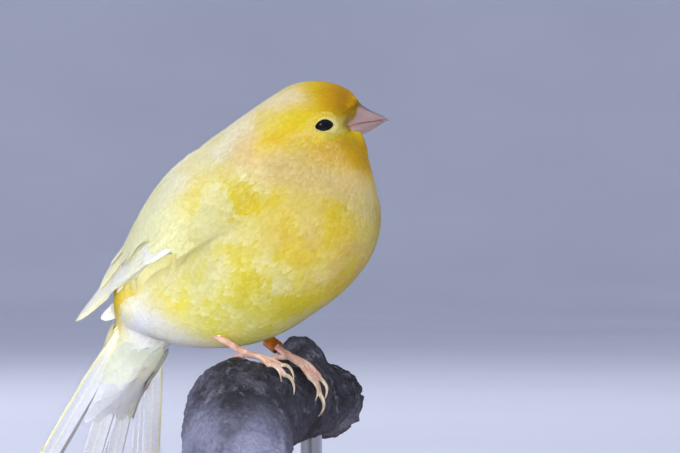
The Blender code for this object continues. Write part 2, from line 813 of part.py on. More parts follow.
def make_wings(skin_tree):
    feather = material("wing_feather", (0.86, 0.83, 0.58), 0.8)
    right = wing_core(skin_tree, feather)
    pieces = []
    for tier in (PRIMARIES, SECONDARIES, TERTIALS):
        for root, tip, half, height in tier:
            pieces.append(wing_vane(len(pieces), root, tip, half, height, VANE_SHAPE, skin_tree))
    for tier in (GREATER_COVERTS, PRIMARY_COVERTS):
        for root, tip, half, height in tier:
            pieces.append(wing_vane(len(pieces), root, tip, half, height, SHORT_SHAPE, skin_tree))
    fuse(right, pieces)
    shape = right.data.copy()
    shape.transform(Matrix.Scale(-1.0, 4, (0.0, 1.0, 0.0)))
    shape.flip_normals()
    new_object("wing_left", shape, None)


def tail_frame(angle):
    """Direction of a feather at an angle from straight back, and the directions across it and to its back."""
    down = math.radians(TAIL_DOWN)
    back = Vector((-math.sin(down), 0.0, math.cos(down)))
    straight = Vector((-math.cos(down), 0.0, -math.sin(down)))
    left = Vector((0.0, 1.0, 0.0))
    turn = math.radians(angle)
    onward = straight * math.cos(turn) + left * math.sin(turn)
    across = left * math.cos(turn) - straight * math.sin(turn)
    return onward, across, back


def tail_vane(aside, angle, length, half, height, tilt, shape):
    onward, across, back = tail_frame(angle)
    root = Vector((TAIL_ROOT[0], aside, TAIL_ROOT[1])) + back * height + onward * TAIL_START
    places = [root + onward * (length - TAIL_START) * s for s, wide in shape]
    count = len(places)
    halves = [half * wide for s, wide in shape]
    return vane("feather", places, [across] * count, [back] * count, halves, VANE_THICK + 0.1, tilt)


def tail_core(look):
    """The root of the tail, from the end of the torso to a flat edge inside the coverts."""
    x, z, pitch, depth, width, turn = BODY[0]
    pull = Vector((-math.cos(math.radians(pitch)), 0.0, -math.sin(math.radians(pitch))))
    first = Vector((x, 0.0, z)) + pull * GAP
    onward, across, back = tail_frame(4.0)
    end = Vector((TAIL_ROOT[0], 0.0, TAIL_ROOT[1])) + onward * TAIL_CORE_LENGTH
    tilt = math.radians(pitch)
    first_back = Vector((-math.sin(tilt), 0.0, math.cos(tilt)))
    rings = []
    steps = 5
    count = 20
    for k in range(steps + 1):
        f = k / steps
        middle = first.lerp(end, f)
        up = first_back.lerp(back, f).normalized()
        left = Vector((0.0, 1.0, 0.0)).lerp(across, f).normalized()
        deep = (depth - 0.2) * (1.0 - f) ** 0.8 + 1.3 * f
        wide = (width - 0.2) * (1.0 - f) + 6.0 * f
        ring = []
        for j in range(count):
            angle = 2.0 * math.pi * j / count
            ring.append(middle + up * deep * math.cos(angle) - left * wide * math.sin(angle))
        rings.append(ring)
    return loft("tail", rings, look)


def make_tail():
    feather = material("tail_feather", (0.88, 0.88, 0.84), 0.8)
    tail = tail_core(feather)
    pieces = []
    middle = (len(TAIL_FEATHERS) - 1) / 2.0
    for k, (aside, angle, length) in enumerate(TAIL_FEATHERS):
        from_middle = k - middle
        side = 1.0 if from_middle > 0.0 else -1.0
        height = -TAIL_STEP * abs(from_middle)
        tilt = -0.3 * side
        pieces.append(tail_vane(aside, angle, length, TAIL_VANE_HALF, height, tilt, VANE_SHAPE))
    for count, length, spread, height in (UPPER_COVERTS, UNDER_COVERTS):
        for k in range(count):
            f = 2.0 * k / (count - 1.0) - 1.0
            reach = length * (1.0 - 0.22 * f * f)
            lift = height * (1.0 - 0.2 * abs(f))
            side = 1.0 if f > 0.0 else -1.0
            pieces.append(tail_vane(5.0 * f, 4.0 + spread * f, reach, 3.0, lift, -0.3 * side, SHORT_SHAPE))
    fuse(tail, pieces)


torso, neck, head = make_body()
make_eyes(head)
make_bill(head)
perch = make_branch()
make_stand()
perch_tree = tree_of(perch)
make_leg("leg_right", LEG_RIGHT, torso, perch_tree)
make_band(make_leg("leg_left", LEG_LEFT, torso, perch_tree), torso)
make_wings(body_tree())
settle(torso)
make_tail()
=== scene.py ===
# The canary on its perch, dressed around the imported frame: skin, coat, wings, tail, head, legs, perch and stand.
# Sizes are in millimetres here, in the frame's own axes, and become metres where a mesh is made.

import math

import bmesh
import bpy
import numpy as np
from mathutils import Matrix, Vector
from mathutils.bvhtree import BVHTree


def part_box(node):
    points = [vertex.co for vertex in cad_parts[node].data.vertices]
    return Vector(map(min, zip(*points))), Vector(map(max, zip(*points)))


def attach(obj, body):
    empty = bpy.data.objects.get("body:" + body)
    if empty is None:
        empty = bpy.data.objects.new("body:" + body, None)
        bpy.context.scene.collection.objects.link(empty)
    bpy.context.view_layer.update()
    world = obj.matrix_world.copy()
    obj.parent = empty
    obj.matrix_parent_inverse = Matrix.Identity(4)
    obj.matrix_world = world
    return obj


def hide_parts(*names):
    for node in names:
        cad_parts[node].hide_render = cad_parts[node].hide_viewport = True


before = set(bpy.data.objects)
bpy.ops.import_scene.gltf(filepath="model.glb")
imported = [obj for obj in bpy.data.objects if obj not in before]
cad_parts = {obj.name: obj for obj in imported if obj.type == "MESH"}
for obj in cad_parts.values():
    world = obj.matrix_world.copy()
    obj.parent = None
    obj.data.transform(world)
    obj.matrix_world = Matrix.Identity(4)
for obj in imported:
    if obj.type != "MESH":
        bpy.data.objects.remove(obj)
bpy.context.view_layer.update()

MM = 0.001

# Body stations, as in the solids: x, z, pitch, half depth, half width, turn of the head to the left
BODY = (
    (-46.5, 62.5, 66.0, 8.8, 8.5, 0.0),
    (-40.5, 67.0, 52.0, 15.4, 14.5, 0.0),
    (-30.0, 72.5, 45.0, 20.8, 19.5, 0.0),
    (-20.3, 79.0, 42.0, 25.0, 22.6, 0.0),
    (-10.2, 86.5, 41.0, 27.3, 24.4, 0.0),
    (-0.7, 92.9, 42.0, 28.0, 24.8, 0.0),
    (8.3, 99.7, 44.0, 26.5, 23.0, 2.0),
    (13.6, 106.4, 46.0, 23.4, 19.2, 9.0),
    (15.9, 112.4, 45.0, 19.2, 14.8, 20.0),
    (17.3, 117.1, 43.0, 15.5, 11.9, 31.0),
    (20.3, 119.5, 33.8, 12.0, 9.9, 36.0),
    (22.6, 120.3, 26.0, 9.2, 7.9, 36.0),
    (24.0, 120.2, 15.0, 6.8, 5.6, 36.0),
    (24.0, 119.5, 0.0, 5.0, 4.2, 36.0),
)
BODY_MIDDLE = np.array((-12.0, 0.0, 88.0))
NECK_X = 9.0
HEAD_TURN = 36.0
TUCK = 1.8
TUCK_STATIONS = (0.6, 2.0, 5.2, 6.4)
TUCK_ANGLES = (18.0, 48.0, 88.0, 110.0)
# Change of the outline for each station past the tail root
VENT_LIE = np.array((3.2, 0.0, 4.6))
# Edge of the golden hood: stations at angles from the back
HOOD_ANGLES = (0.0, 50.0, 70.0, 90.0, 103.0, 120.0, 138.0, 161.0, 180.0)
HOOD_STATIONS = (7.2, 6.9, 6.5, 7.0, 7.2, 7.75, 8.05, 8.3, 8.35)

# How deep the skin lies under the tips of the coat, at stations along the body
COAT_STATIONS = (0.0, 2.0, 5.0, 7.5, 9.0, 10.5, 11.8, 13.0)
COAT_DEPTHS = (1.1, 1.4, 1.4, 1.1, 0.8, 0.55, 0.4, 0.3)
# Loose barbs at four stations: half width of a tuft, height of its tips, depth of its root
BARB_ROWS = ((0.36, 0.32, 0.2, 0.13), (0.2, 0.18, 0.09, 0.045), (0.1, 0.1, 0.06, 0.04))
BRISTLE_HALF = 0.06
ALL_ROUND = (-math.pi, math.pi)

# Face, how much narrower than the body's own sections, and the eye, in the head's own frame
FACE_TAPER = 0.42
GAPE_TAPER = 0.38
EYE_AHEAD = 7.1
EYE_HEIGHT = 117.3
EYE_RADIUS = 3.0
EYE_SHOWS = 0.8
EYE_SLANT = math.radians(10.0)
LID_LONG = 2.42
LID_HIGH = 1.66
# Lids, from inside the rim outwards: distance from the rim and height over the eye or the face
LID_ROWS = (
    (-0.1, -0.35), (0.0, 0.06), (0.1, 0.22), (0.24, 0.24), (0.4, 0.16), (0.62, 0.08), (0.95, -0.1), (1.35, -0.6),
)

# Bill, one row a station: ahead of the neck's axis, mouth line, ridge, half width
UPPER_BILL = (
    (11.3, 116.4, 124.3, 4.1),
    (12.4, 116.9, 124.5, 4.9),
    (13.6, 117.45, 124.3, 4.55),
    (15.2, 118.0, 123.9, 3.85),
    (17.0, 118.35, 122.7, 3.2),
    (19.0, 118.7, 121.5, 2.5),
    (21.0, 118.95, 120.6, 1.6),
    (22.5, 119.0, 119.95, 0.8),
    (23.2, 118.9, 119.4, 0.4),
    (23.65, 118.8, 118.95, 0.06),
)
LOWER_BILL = (
    (11.3, 116.2, 115.3, 4.05),
    (12.4, 116.7, 114.9, 4.8),
    (13.6, 117.25, 114.8, 4.45),
    (15.2, 117.85, 114.8, 3.7),
    (17.0, 118.2, 115.3, 3.0),
    (19.0, 118.55, 116.2, 2.3),
    (21.0, 118.8, 117.5, 1.4),
    (22.3, 118.85, 118.35, 0.6),
    (22.9, 118.8, 118.65, 0.08),
)

# Right wing at rest, as in the solids: lower edge, middle, upper edge at stations from the bend to the tip
WING = (
    ((9.0, -22.0, 93.5), (4.5, -21.2, 102.2), (-1.5, -16.8, 109.8)),
    ((-3.5, -24.0, 88.0), (-9.7, -21.8, 98.9), (-17.3, -13.5, 107.5)),
    ((-24.5, -20.5, 79.3), (-29.5, -16.7, 88.0), (-36.3, -7.0, 94.1)),
    ((-43.5, -13.0, 72.0), (-47.0, -9.7, 78.6), (-51.3, -2.9, 83.8)),
    ((-54.5, -8.6, 67.8), (-56.5, -6.6, 72.6), (-59.0, -2.8, 76.8)),
    ((-67.6, -4.8, 63.4), (-68.0, -4.3, 64.1), (-68.2, -3.8, 64.9)),
)

# Feathers of a wing, innermost first in each tier: station and place across of root and tip, half width, height
PRIMARIES = [
    ((1.85, 0.48 - 0.05 * k), (tip, 0.60 - 0.04 * k), 3.2 - 0.13 * k, 1.25)
    for k, tip in enumerate((4.04, 4.18, 4.35, 4.53, 4.71, 4.88, 5.00, 4.96))
]
SECONDARIES = [
    ((1.80, 0.82 - 0.05 * k), (tip, 0.86 - 0.05 * k), 3.0, 1.5)
    for k, tip in enumerate((3.55, 3.70, 3.80, 3.88, 3.94, 3.99))
]
TERTIALS = [
    ((1.75, 0.93 - 0.05 * k), (tip, 0.95 - 0.035 * k), 3.6, 1.85)
    for k, tip in enumerate((2.85, 3.15, 3.42))
]
GREATER_COVERTS = [
    ((1.15, 0.95 - 0.09 * k), (2.10 - 0.02 * k, 0.92 - 0.09 * k), 2.5, 2.15)
    for k in range(9)
]
PRIMARY_COVERTS = [
    ((1.15, 0.26 - 0.055 * k), (2.08 + 0.02 * k, 0.27 - 0.05 * k), 1.8, 1.55)
    for k in range(4)
]
# Tiers of a wing: feathers, share of the length that the tip takes, web, outer edge, inner web, tilt across
WING_TIERS = (
    (PRIMARIES, 0.30, (236, 237, 228), (242, 240, 190), (214, 214, 214), 0.21),
    (SECONDARIES, 0.16, (238, 236, 216), (243, 240, 168), (222, 216, 206), 0.21),
    (TERTIALS, 0.22, (240, 238, 214), (242, 238, 172), (228, 224, 206), 0.21),
    (GREATER_COVERTS, 0.3, (234, 234, 190), (232, 228, 150), (230, 228, 190), 0.189),
    (PRIMARY_COVERTS, 0.35, (242, 242, 236), (244, 244, 226), (226, 226, 222), 0.189),
)
VANE_THICK = 0.16

# The wing's front half, as far as the coat passes over it
COVER_END = 2.7
COVER_ROWS = 34
COVER_COLUMNS = 14

# Tail, as in the solids: root of its fan, angle below level, and place, angle and length of each feather
TAIL_ROOT = (-50.3, 65.3)
TAIL_DOWN = 66.5
TAIL_FEATHERS = (
    (-5.6, -19.0, 54.0),
    (-5.2, -18.3, 56.0),
    (-4.8, -17.5, 56.5),
    (-2.4, 2.3, 55.5),
    (-1.4, 3.5, 54.0),
    (-0.5, 4.8, 51.0),
    (0.5, 6.0, 51.0),
    (1.4, 7.2, 54.0),
    (2.4, 8.4, 55.5),
    (4.6, 18.8, 56.5),
    (5.2, 20.6, 56.0),
    (5.8, 22.3, 54.0),
)
TAIL_VANE_HALF = 3.9
TAIL_ANGLE = math.radians(TAIL_DOWN)
TAIL_BACK = np.array((-math.sin(TAIL_ANGLE), 0.0, math.cos(TAIL_ANGLE)))
TAIL_STRAIGHT = np.array((-math.cos(TAIL_ANGLE), 0.0, -math.sin(TAIL_ANGLE)))
TAIL_COVER_ROOT = np.array((-48.0, 0.0, 61.0))

# Branch, as in the solids, from the far end to the near end: x, y, z, radius
BRANCH = (
    (-15.0, 42.0, 41.5, 11.0),
    (-11.0, 26.0, 42.8, 11.4),
    (-6.5, 10.5, 42.4, 11.7),
    (-0.5, -5.0, 41.4, 13.2),
    (3.5, -19.5, 40.2, 14.8),
    (14.0, -32.0, 31.5, 14.8),
    (20.5, -39.0, 18.5, 14.6),
)
KNOB = np.array((-10.5, 23.5, 52.5))

# Legs and toes, as in the solids
LEG_RIGHT = dict(foot_y=-10.5, joint_x=-1.2, knee=(-13.5, -10.0, 61.5))
LEG_LEFT = dict(foot_y=10.5, joint_x=-4.0, knee=(-14.5, 9.5, 61.5))
TOE_RADIUS = 0.75
CLAW_LENGTH = 5.5
TOES = (
    ("inner", 11.0, -4.2),
    ("middle", 15.5, 0.3),
    ("outer", 11.5, 4.6),
    ("hind", -10.5, 0.4),
)
GAP = 0.3

# Stand: thickness of the base, and the collar round each rod: radius and height over the base
BASE_THICK = 9.0
COLLAR_PROFILE = ((3.05, 0.0), (5.2, 0.0), (5.5, 0.3), (5.5, 1.0), (5.1, 1.5), (3.6, 1.7), (3.15, 1.5))


FULL_TURN = 2.0 * math.pi
UP = np.array((0.0, 0.0, 1.0))
LEFT = np.array((0.0, 1.0, 0.0))
MIRROR = np.array((1.0, -1.0, 1.0))


def linear(red, green, blue):
    """A display colour of 0 to 255 as linear values."""
    out = []
    for part in (red, green, blue):
        c = part / 255.0
        out.append(c / 12.92 if c <= 0.04045 else ((c + 0.055) / 1.055) ** 2.4)
    return np.array(out)


DEEP_GOLD = linear(198, 146, 6)
GOLD = linear(222, 182, 12)
YELLOW = linear(226, 204, 20)
LEMON = linear(230, 220, 100)
# Greenish yellow that stands for green light bounced onto the belly: painted light
GREEN_BOUNCE = linear(214, 210, 84)
CREAM = linear(242, 236, 204)
PINK_CREAM = linear(220, 186, 118)
FROST = linear(228, 222, 170)
WHITE = linear(232, 238, 250)
RUMP = linear(238, 206, 30)
LORE = linear(214, 202, 114)
WING_PALE = linear(234, 234, 184)
CUT_RIM = linear(92, 70, 54)
CUT_WOOD = linear(206, 172, 128)
CUT_HEART = linear(150, 112, 74)


def rows_at(rows, t):
    """The smooth curve through the rows, at many places t counted in rows."""
    rows = np.asarray(rows, float)
    last = len(rows) - 1
    t = np.clip(np.asarray(t, float), 0.0, last)
    i = np.clip(t.astype(int), 0, last - 1)
    f = (t - i)[..., None]
    before = rows[np.maximum(i - 1, 0)]
    here = rows[i]
    after = rows[i + 1]
    beyond = rows[np.minimum(i + 2, last)]
    bend = 2.0 * before - 5.0 * here + 4.0 * after - beyond
    twist = 3.0 * here - before - 3.0 * after + beyond
    return 0.5 * (2.0 * here + (after - before) * f + bend * f * f + twist * f ** 3)


def ease(value, low, high):
    f = np.clip((value - low) / (high - low), 0.0, 1.0)
    return f * f * (3.0 - 2.0 * f)


def window(value, limits):
    rise = np.clip((value - limits[0]) / (limits[1] - limits[0]), 0.0, 1.0)
    fall = np.clip((limits[3] - value) / (limits[3] - limits[2]), 0.0, 1.0)
    low = np.minimum(rise, fall)
    return low * low * (3.0 - 2.0 * low)


def unit(vectors):
    return vectors / np.maximum(np.linalg.norm(vectors, axis=-1, keepdims=True), 1e-9)


def lattice(i, j, k, seed):
    """A fixed value of 0 to 1 for each whole place."""
    h = (i * 73856093) ^ (j * 19349663) ^ (k * 83492791) ^ (seed * 26544357)
    h = h & 0xFFFFFFFF
    h = ((h ^ (h >> 16)) * 0x45D9F3B) & 0xFFFFFFFF
    h = ((h ^ (h >> 16)) * 0x45D9F3B) & 0xFFFFFFFF
    return (h ^ (h >> 16)) / 4294967295.0


def noise(points, size, seed):
    """Smooth noise of 0 to 1, in lumps of about the given size."""
    place = points / size
    whole = np.floor(place).astype(np.int64)
    f = place - whole
    f = f * f * (3.0 - 2.0 * f)
    total = 0.0
    for corner in np.ndindex(2, 2, 2):
        weight = 1.0
        for axis, far in enumerate(corner):
            weight = weight * (f[..., axis] if far else 1.0 - f[..., axis])
        total = total + weight * lattice(*(whole[..., n] + corner[n] for n in range(3)), seed)
    return total


def turns(sides):
    """Angles of one full turn, in equal steps."""
    return FULL_TURN * np.arange(sides) / sides


def flat_grid(a, b):
    """Two lists of values as the rows and columns of a grid, flattened row by row."""
    return [values.ravel() for values in np.meshgrid(a, b, indexing="ij")]


def from_back(theta):
    """Degrees from the back, down either side."""
    return np.abs((np.degrees(theta) + 180.0) % 360.0 - 180.0)


def body_at(t, theta):
    """Places on the body's outline, at stations t and angles from the back towards the right side."""
    t = np.asarray(t, float)
    theta = np.asarray(theta, float)
    inside = np.maximum(t, 0.0)
    x, z, pitch, depth, width, turn = np.moveaxis(rows_at(BODY, inside), -1, 0)
    tilt = np.radians(pitch)
    tuck = TUCK * window(inside, TUCK_STATIONS) * window(from_back(theta), TUCK_ANGLES)
    up = (depth - tuck) * np.cos(theta)
    out = (width - tuck) * np.sin(theta)
    px = x - up * np.sin(tilt) - NECK_X
    pz = z + up * np.cos(tilt)
    gape = GAPE_TAPER * ease(px, 9.0, 12.8) * window(pz, (111.5, 114.5, 120.5, 123.5))
    py = -out * (1.0 - FACE_TAPER * ease(px, 9.0, 15.0) * ease(inside, 9.0, 10.5)) * (1.0 - gape)
    angle = np.radians(turn)
    place = np.stack((
        NECK_X + px * np.cos(angle) - py * np.sin(angle), px * np.sin(angle) + py * np.cos(angle), pz,
    ), -1)
    beyond = np.minimum(t, 0.0)[..., None]
    return place + beyond * VENT_LIE + beyond * 0.25 * (place - np.stack((x, 0.0 * x, z), -1))


HEAD_COS, HEAD_SIN = math.cos(math.radians(HEAD_TURN)), math.sin(math.radians(HEAD_TURN))


def in_head(ahead, aside, height):
    """A place in the head's own frame: ahead of the neck's axis, to the bird's right, and height."""
    return Vector((NECK_X + ahead * HEAD_COS + aside * HEAD_SIN, ahead * HEAD_SIN - aside * HEAD_COS, height))


def mix(colours, other, weight):
    return colours + (other - colours) * np.clip(weight, 0.0, 1.0)[..., None]


def markings(t, theta, points):
    """Colour of the plumage, with painted shade and a painted green bounce light on its underside, and how pale the
    tips of its feathers are, at many places on the body.
    """
    a = from_back(theta)
    x, y, height = points[..., 0] - NECK_X, points[..., 1], points[..., 2]
    ahead = x * HEAD_COS + y * HEAD_SIN
    patch = noise(points, 7.5, 3) * 0.65 + noise(points, 4.0, 4) * 0.35
    fine = noise(points, 2.2, 5)
    back = (1.0 - ease(a, 50.0, 90.0)) * window(t, (0.8, 2.0, 8.0, 9.2))
    breast = window(t, (4.6, 6.0, 7.3, 8.0)) * ease(a, 70.0, 115.0)
    breast_pink = breast * ease(a, 100.0, 150.0) * ease(noise(points, 5.0, 8), 0.5, 0.7)
    # Painted light: a green bounce light, painted as a greenish tint on the lower belly
    belly_green_bounce = (1.0 - ease(t, 3.2, 5.2)) * ease(a, 105.0, 150.0)
    middle = np.interp(a, HOOD_ANGLES, HOOD_STATIONS) + 0.5 * (noise(points, 7.0, 15) - 0.5)
    head = ease(t - middle, 0.1, 0.75)
    nape = (1.0 - ease(a, 46.0, 74.0)) * window(t, (6.0, 6.8, 8.8, 9.9))
    temple = head * window(height, (115.0, 117.0, 121.0, 124.0)) * (1.0 - ease(ahead, 4.0, 10.0))
    front = head * ease(height, 118.0, 123.0) * ease(ahead, 1.5, 11.5)
    throat = head * (1.0 - ease(height, 112.0, 116.5)) * ease(ahead, -1.0, 7.0)
    lore = head * window(height, (114.6, 116.0, 118.6, 120.4)) * window(ahead, (7.6, 9.6, 10.8, 14.0))
    under_eye = head * window(height, (112.0, 113.8, 115.4, 116.8)) * window(ahead, (3.5, 6.0, 9.5, 12.0))
    cheek = window(t, (7.2, 7.7, 8.6, 9.4)) * window(a, (70.0, 82.0, 125.0, 150.0))
    streak = noise(points * np.array((1.0, 1.0, 2.2)), 2.6, 9)
    reach = 0.62 + 0.25 * (noise(points, 5.0, 16) - 0.5)
    collar = (1.0 - ease(np.abs(t - middle) / reach, 0.35, 1.35)) * ease(a, 40.0, 62.0)
    collar = collar * (0.7 + 0.3 * fine) * (0.9 - 0.45 * ease(patch, 0.45, 0.65))
    flank = window(t, (1.7, 2.5, 4.2, 5.0)) * window(a, (66.0, 76.0, 92.0, 108.0))
    vent = 1.0 - ease(t, 1.0, 2.5)
    upper_tail = (1.0 - ease(t, 0.2, 0.7)) * (1.0 - ease(a, 70.0, 84.0))
    rump = window(t, (-0.1, 0.5, 1.2, 1.9)) * (1.0 - ease(a, 73.0, 83.0))
    colours = np.broadcast_to(LEMON, points.shape).copy()
    for colour, weight in (
        (YELLOW, ease(patch, 0.44, 0.57) * 0.8),
        (FROST, ease(0.56 - patch, 0.06, 0.16) * 0.75),
        (CREAM, back * (0.97 - 0.3 * ease(patch, 0.52, 0.66))),
        (YELLOW * 0.6 + GOLD * 0.4, breast * (0.62 + 0.38 * ease(patch, 0.4, 0.56))),
        (PINK_CREAM, breast_pink * 0.6),
        (GREEN_BOUNCE, belly_green_bounce * 0.7),
        (GOLD * 0.55 + YELLOW * 0.45, head),
        (CREAM * 0.7 + PINK_CREAM * 0.3, nape * (0.9 - 0.45 * ease(patch, 0.45, 0.65))),
        (YELLOW, temple * 0.6),
        (DEEP_GOLD, front),
        (GOLD * 0.5 + DEEP_GOLD * 0.5, throat),
        (LORE, lore * 0.75),
        (YELLOW, under_eye * 0.5),
        (PINK_CREAM, cheek * ease(streak, 0.55, 0.75) * 0.45),
        (PINK_CREAM, collar),
        (LEMON * 0.55 + CREAM * 0.45, flank * 0.8),
        (CREAM * 0.6 + WHITE * 0.4, vent * ease(a, 70.0, 86.0) * 0.9),
        (WHITE, vent * ease(a, 88.0, 112.0) * 0.97),
        (LEMON * 0.4 + CREAM * 0.6, upper_tail),
        (RUMP, rump),
    ):
        colours = mix(colours, colour, weight)
    # Painted shade: the body's underside and lower sides, from the belly up to the throat, darkened by up to a
    # quarter
    colours = colours * (1.0 - 0.24 * window(t, (2.2, 3.6, 7.4, 8.4)) * ease(a, 72.0, 96.0))[:, None]
    frost = 0.55 * ease(noise(points, 5.0, 6), 0.36, 0.62) * (1.0 - head) * (1.0 - rump)
    frost = frost * (0.45 + 0.55 * ease(a, 50.0, 90.0)) * (1.0 - 0.65 * breast)
    return colours, np.maximum(frost, cheek * 0.35)


class Look:
    """A material in the making, with a short call for each kind of node."""

    def __init__(self, name, roughness, **values):
        self.made = bpy.data.materials.new(name)
        self.made.use_nodes = True
        self.nodes, self.links = self.made.node_tree.nodes, self.made.node_tree.links
        self.shader = self.nodes["Principled BSDF"]
        self.feed(self.shader, dict(values, Roughness=roughness))

    def feed(self, node, inputs):
        """Set a node's inputs to values, or link them to outputs; an underscore stands for a space."""
        for name, value in inputs.items():
            place = node.inputs[name if isinstance(name, int) else name.replace("_", " ")]
            if isinstance(value, bpy.types.NodeSocket):
                self.links.new(value, place)
            elif isinstance(value, np.ndarray):
                place.default_value = (*(float(c) for c in value), 1.0)
            else:
                place.default_value = value
        return node

    def node(self, kind, **inputs):
        return self.feed(self.nodes.new("ShaderNode" + kind), inputs)

    def where(self):
        return self.node("TexCoord").outputs["Object"]

    def noise(self, scale, detail=4.0, roughness=0.6, stretch=None):
        """Noise in the object's own space, in lumps of about one over the scale."""
        where = self.where()
        if stretch is not None:
            where = self.node("Mapping", Vector=where, Scale=stretch).outputs["Vector"]
        return self.node("TexNoise", Scale=scale, Detail=detail, Roughness=roughness, Vector=where).outputs["Fac"]

    def attribute(self, name, output="Color"):
        made = self.node("Attribute")
        made.attribute_name = name
        return made.outputs[output]

    def maths(self, operation, *values):
        made = self.feed(self.nodes.new("ShaderNodeMath"), dict(enumerate(values)))
        made.operation = operation
        return made.outputs[0]

    def ramp(self, source, *stops):
        """A colour ramp over a value, with a place and a linear colour, or one grey level, for each stop."""
        made = self.node("ValToRGB", Fac=source)
        elements = made.color_ramp.elements
        while len(elements) < len(stops):
            elements.new(0.5)
        for element, (place, colour) in zip(elements, stops):
            element.position = place
            element.color = (*(float(c) for c in np.broadcast_to(colour, 3)), 1.0)
        return made.outputs["Color"]

    def blend(self, first, *others, amount=1.0, kind="MULTIPLY"):
        """The first colour, blended with each of the others in turn."""
        for other in others:
            made = self.node("Mix")
            made.data_type = "RGBA"
            made.blend_type = kind
            first = self.feed(made, {0: amount, 6: first, 7: other}).outputs[2]
        return first

    def finish(self, colour, height=None, strength=0.0, distance=0.0):
        """Give the shader its colour and bumps, and hand over the material."""
        self.feed(self.shader, {"Base Color": colour})
        if height is not None:
            bump = self.node("Bump", Strength=strength, Distance=distance, Height=height)
            self.feed(self.shader, {"Normal": bump.outputs["Normal"]})
        return self.made


def feather_material(name, roughness, strand_size, strand_depth):
    """Plumage: the marking's colour, fine barbs along each feather, and slight unevenness."""
    look = Look(name, roughness, Specular_IOR_Level=0.25, Sheen_Weight=0.04, Sheen_Roughness=0.5)
    wave = look.maths("MULTIPLY", look.attribute("strand", "Fac"), FULL_TURN / strand_size)
    ripple = look.maths("SINE", wave)
    shades = look.ramp(look.noise(900.0, 3.0), (0.3, (0.88, 0.87, 0.84)), (0.7, 1.0))
    lines = look.ramp(ripple, (0.0, (0.93, 0.92, 0.9)), (0.6, 1.0))
    return look.finish(look.blend(look.attribute("tint"), shades, lines), ripple, strand_depth, 0.00004)


def add_object(mesh, look):
    """An object with its mesh's name, in the scene, with one material."""
    made = bpy.data.objects.new(mesh.name, mesh)
    bpy.context.scene.collection.objects.link(made)
    mesh.materials.append(look)
    return made


def tri_mesh(name, points, tris, look, tint=None, strand=None, uv=None, normals=None):
    """A piece from points in millimetres and triangles, with its colour, barb lines, map and normals."""
    mesh = bpy.data.meshes.new(name)
    points = np.asarray(points, np.float32) * MM
    tris = np.asarray(tris, np.int32)
    mesh.vertices.add(len(points))
    mesh.vertices.foreach_set("co", points.ravel())
    mesh.loops.add(tris.size)
    mesh.loops.foreach_set("vertex_index", tris.ravel())
    mesh.polygons.add(len(tris))
    mesh.polygons.foreach_set("loop_start", np.arange(0, tris.size, 3, dtype=np.int32))
    mesh.update(calc_edges=True)
    mesh.shade_smooth()
    if uv is not None:
        layer = mesh.uv_layers.new(name="OFBake")
        layer.uv.foreach_set("vector", np.asarray(uv, np.float32)[tris.ravel()].ravel())
    if tint is not None:
        colour = mesh.color_attributes.new("tint", "FLOAT_COLOR", "POINT")
        full = np.ones((len(points), 4), np.float32)
        full[:, :3] = tint
        colour.data.foreach_set("color", full.ravel())
    if strand is not None:
        line = mesh.attributes.new("strand", "FLOAT", "POINT")
        line.data.foreach_set("value", np.asarray(strand, np.float32))
    if normals is not None:
        mesh.normals_split_custom_set(np.asarray(normals, np.float32))
    made = add_object(mesh, look)
    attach(made, "root")
    return made


def two_halves(quads):
    return np.concatenate((quads[:, (0, 1, 2)], quads[:, (0, 2, 3)]))


def grid_tris(rows, columns, wrap=False, flip=False):
    """Triangles of a grid of points, row by row; wrapped, its last column joins the first."""
    r, c = np.meshgrid(np.arange(rows - 1), np.arange(columns if wrap else columns - 1), indexing="ij")
    a = r * columns + c
    b = r * columns + (c + 1) % columns
    quads = np.stack((a, b, b + columns, a + columns), -1).reshape(-1, 4)
    return two_halves(quads[:, ::-1] if flip else quads)


def closed_tris(rings, sides):
    """Triangles of rings of points, closed by fans to two more points: the middles of its two ends."""
    first = np.arange(sides)
    last = first + (rings - 1) * sides
    count = rings * sides
    return np.concatenate((
        grid_tris(rings, sides, wrap=True),
        np.stack((np.roll(first, -1), first, np.full(sides, count)), -1),
        np.stack((last, np.roll(last, -1), np.full(sides, count + 1)), -1),
    ))


def with_middles(values, sides):
    """The values of rings of points, and the means of the first and the last ring."""
    return np.vstack((values, values[:sides].mean(0), values[-sides:].mean(0)))


def sheet_tris(rows, columns, flip):
    """Triangles of two grids of points, one over the other, with a strip round their edge."""
    m = rows * columns
    rim = list(range(columns)) + [r * columns + columns - 1 for r in range(1, rows)]
    rim += [(rows - 1) * columns + c for c in range(columns - 2, -1, -1)]
    rim = np.array(rim + [r * columns for r in range(rows - 2, 0, -1)])
    after = np.roll(rim, -1)
    if flip:
        strips = ((rim, after, after + m), (rim, after + m, rim + m))
    else:
        strips = ((rim, after + m, after), (rim, rim + m, after + m))
    faces = [grid_tris(rows, columns, flip=flip), grid_tris(rows, columns, flip=not flip) + m]
    return np.concatenate(faces + [np.stack(strip, -1) for strip in strips])


def turned_tris(sides, m):
    """Triangles of a closed profile of m points that is turned round an axis."""
    k, j = np.meshgrid(np.arange(sides), np.arange(m), indexing="ij")
    after, above = (k + 1) % sides, (j + 1) % m
    return two_halves(np.stack((k * m + j, k * m + above, after * m + above, after * m + j), -1).reshape(-1, 4))


def outward_faces(points, tris):
    """The triangles, turned over as a whole where the closed body would be inside out."""
    p = points[tris]
    volume = np.einsum("ij,ij->i", p[:, 0], np.cross(p[:, 1], p[:, 2])).sum()
    return tris if volume > 0.0 else tris[:, ::-1]


def tris_facing(points, tris, way):
    """The triangles of an open sheet, turned over as a whole where they face away from a direction."""
    p = points[tris]
    facing = (np.cross(p[:, 1] - p[:, 0], p[:, 2] - p[:, 0]) @ way).sum()
    return tris if facing > 0.0 else tris[:, ::-1]


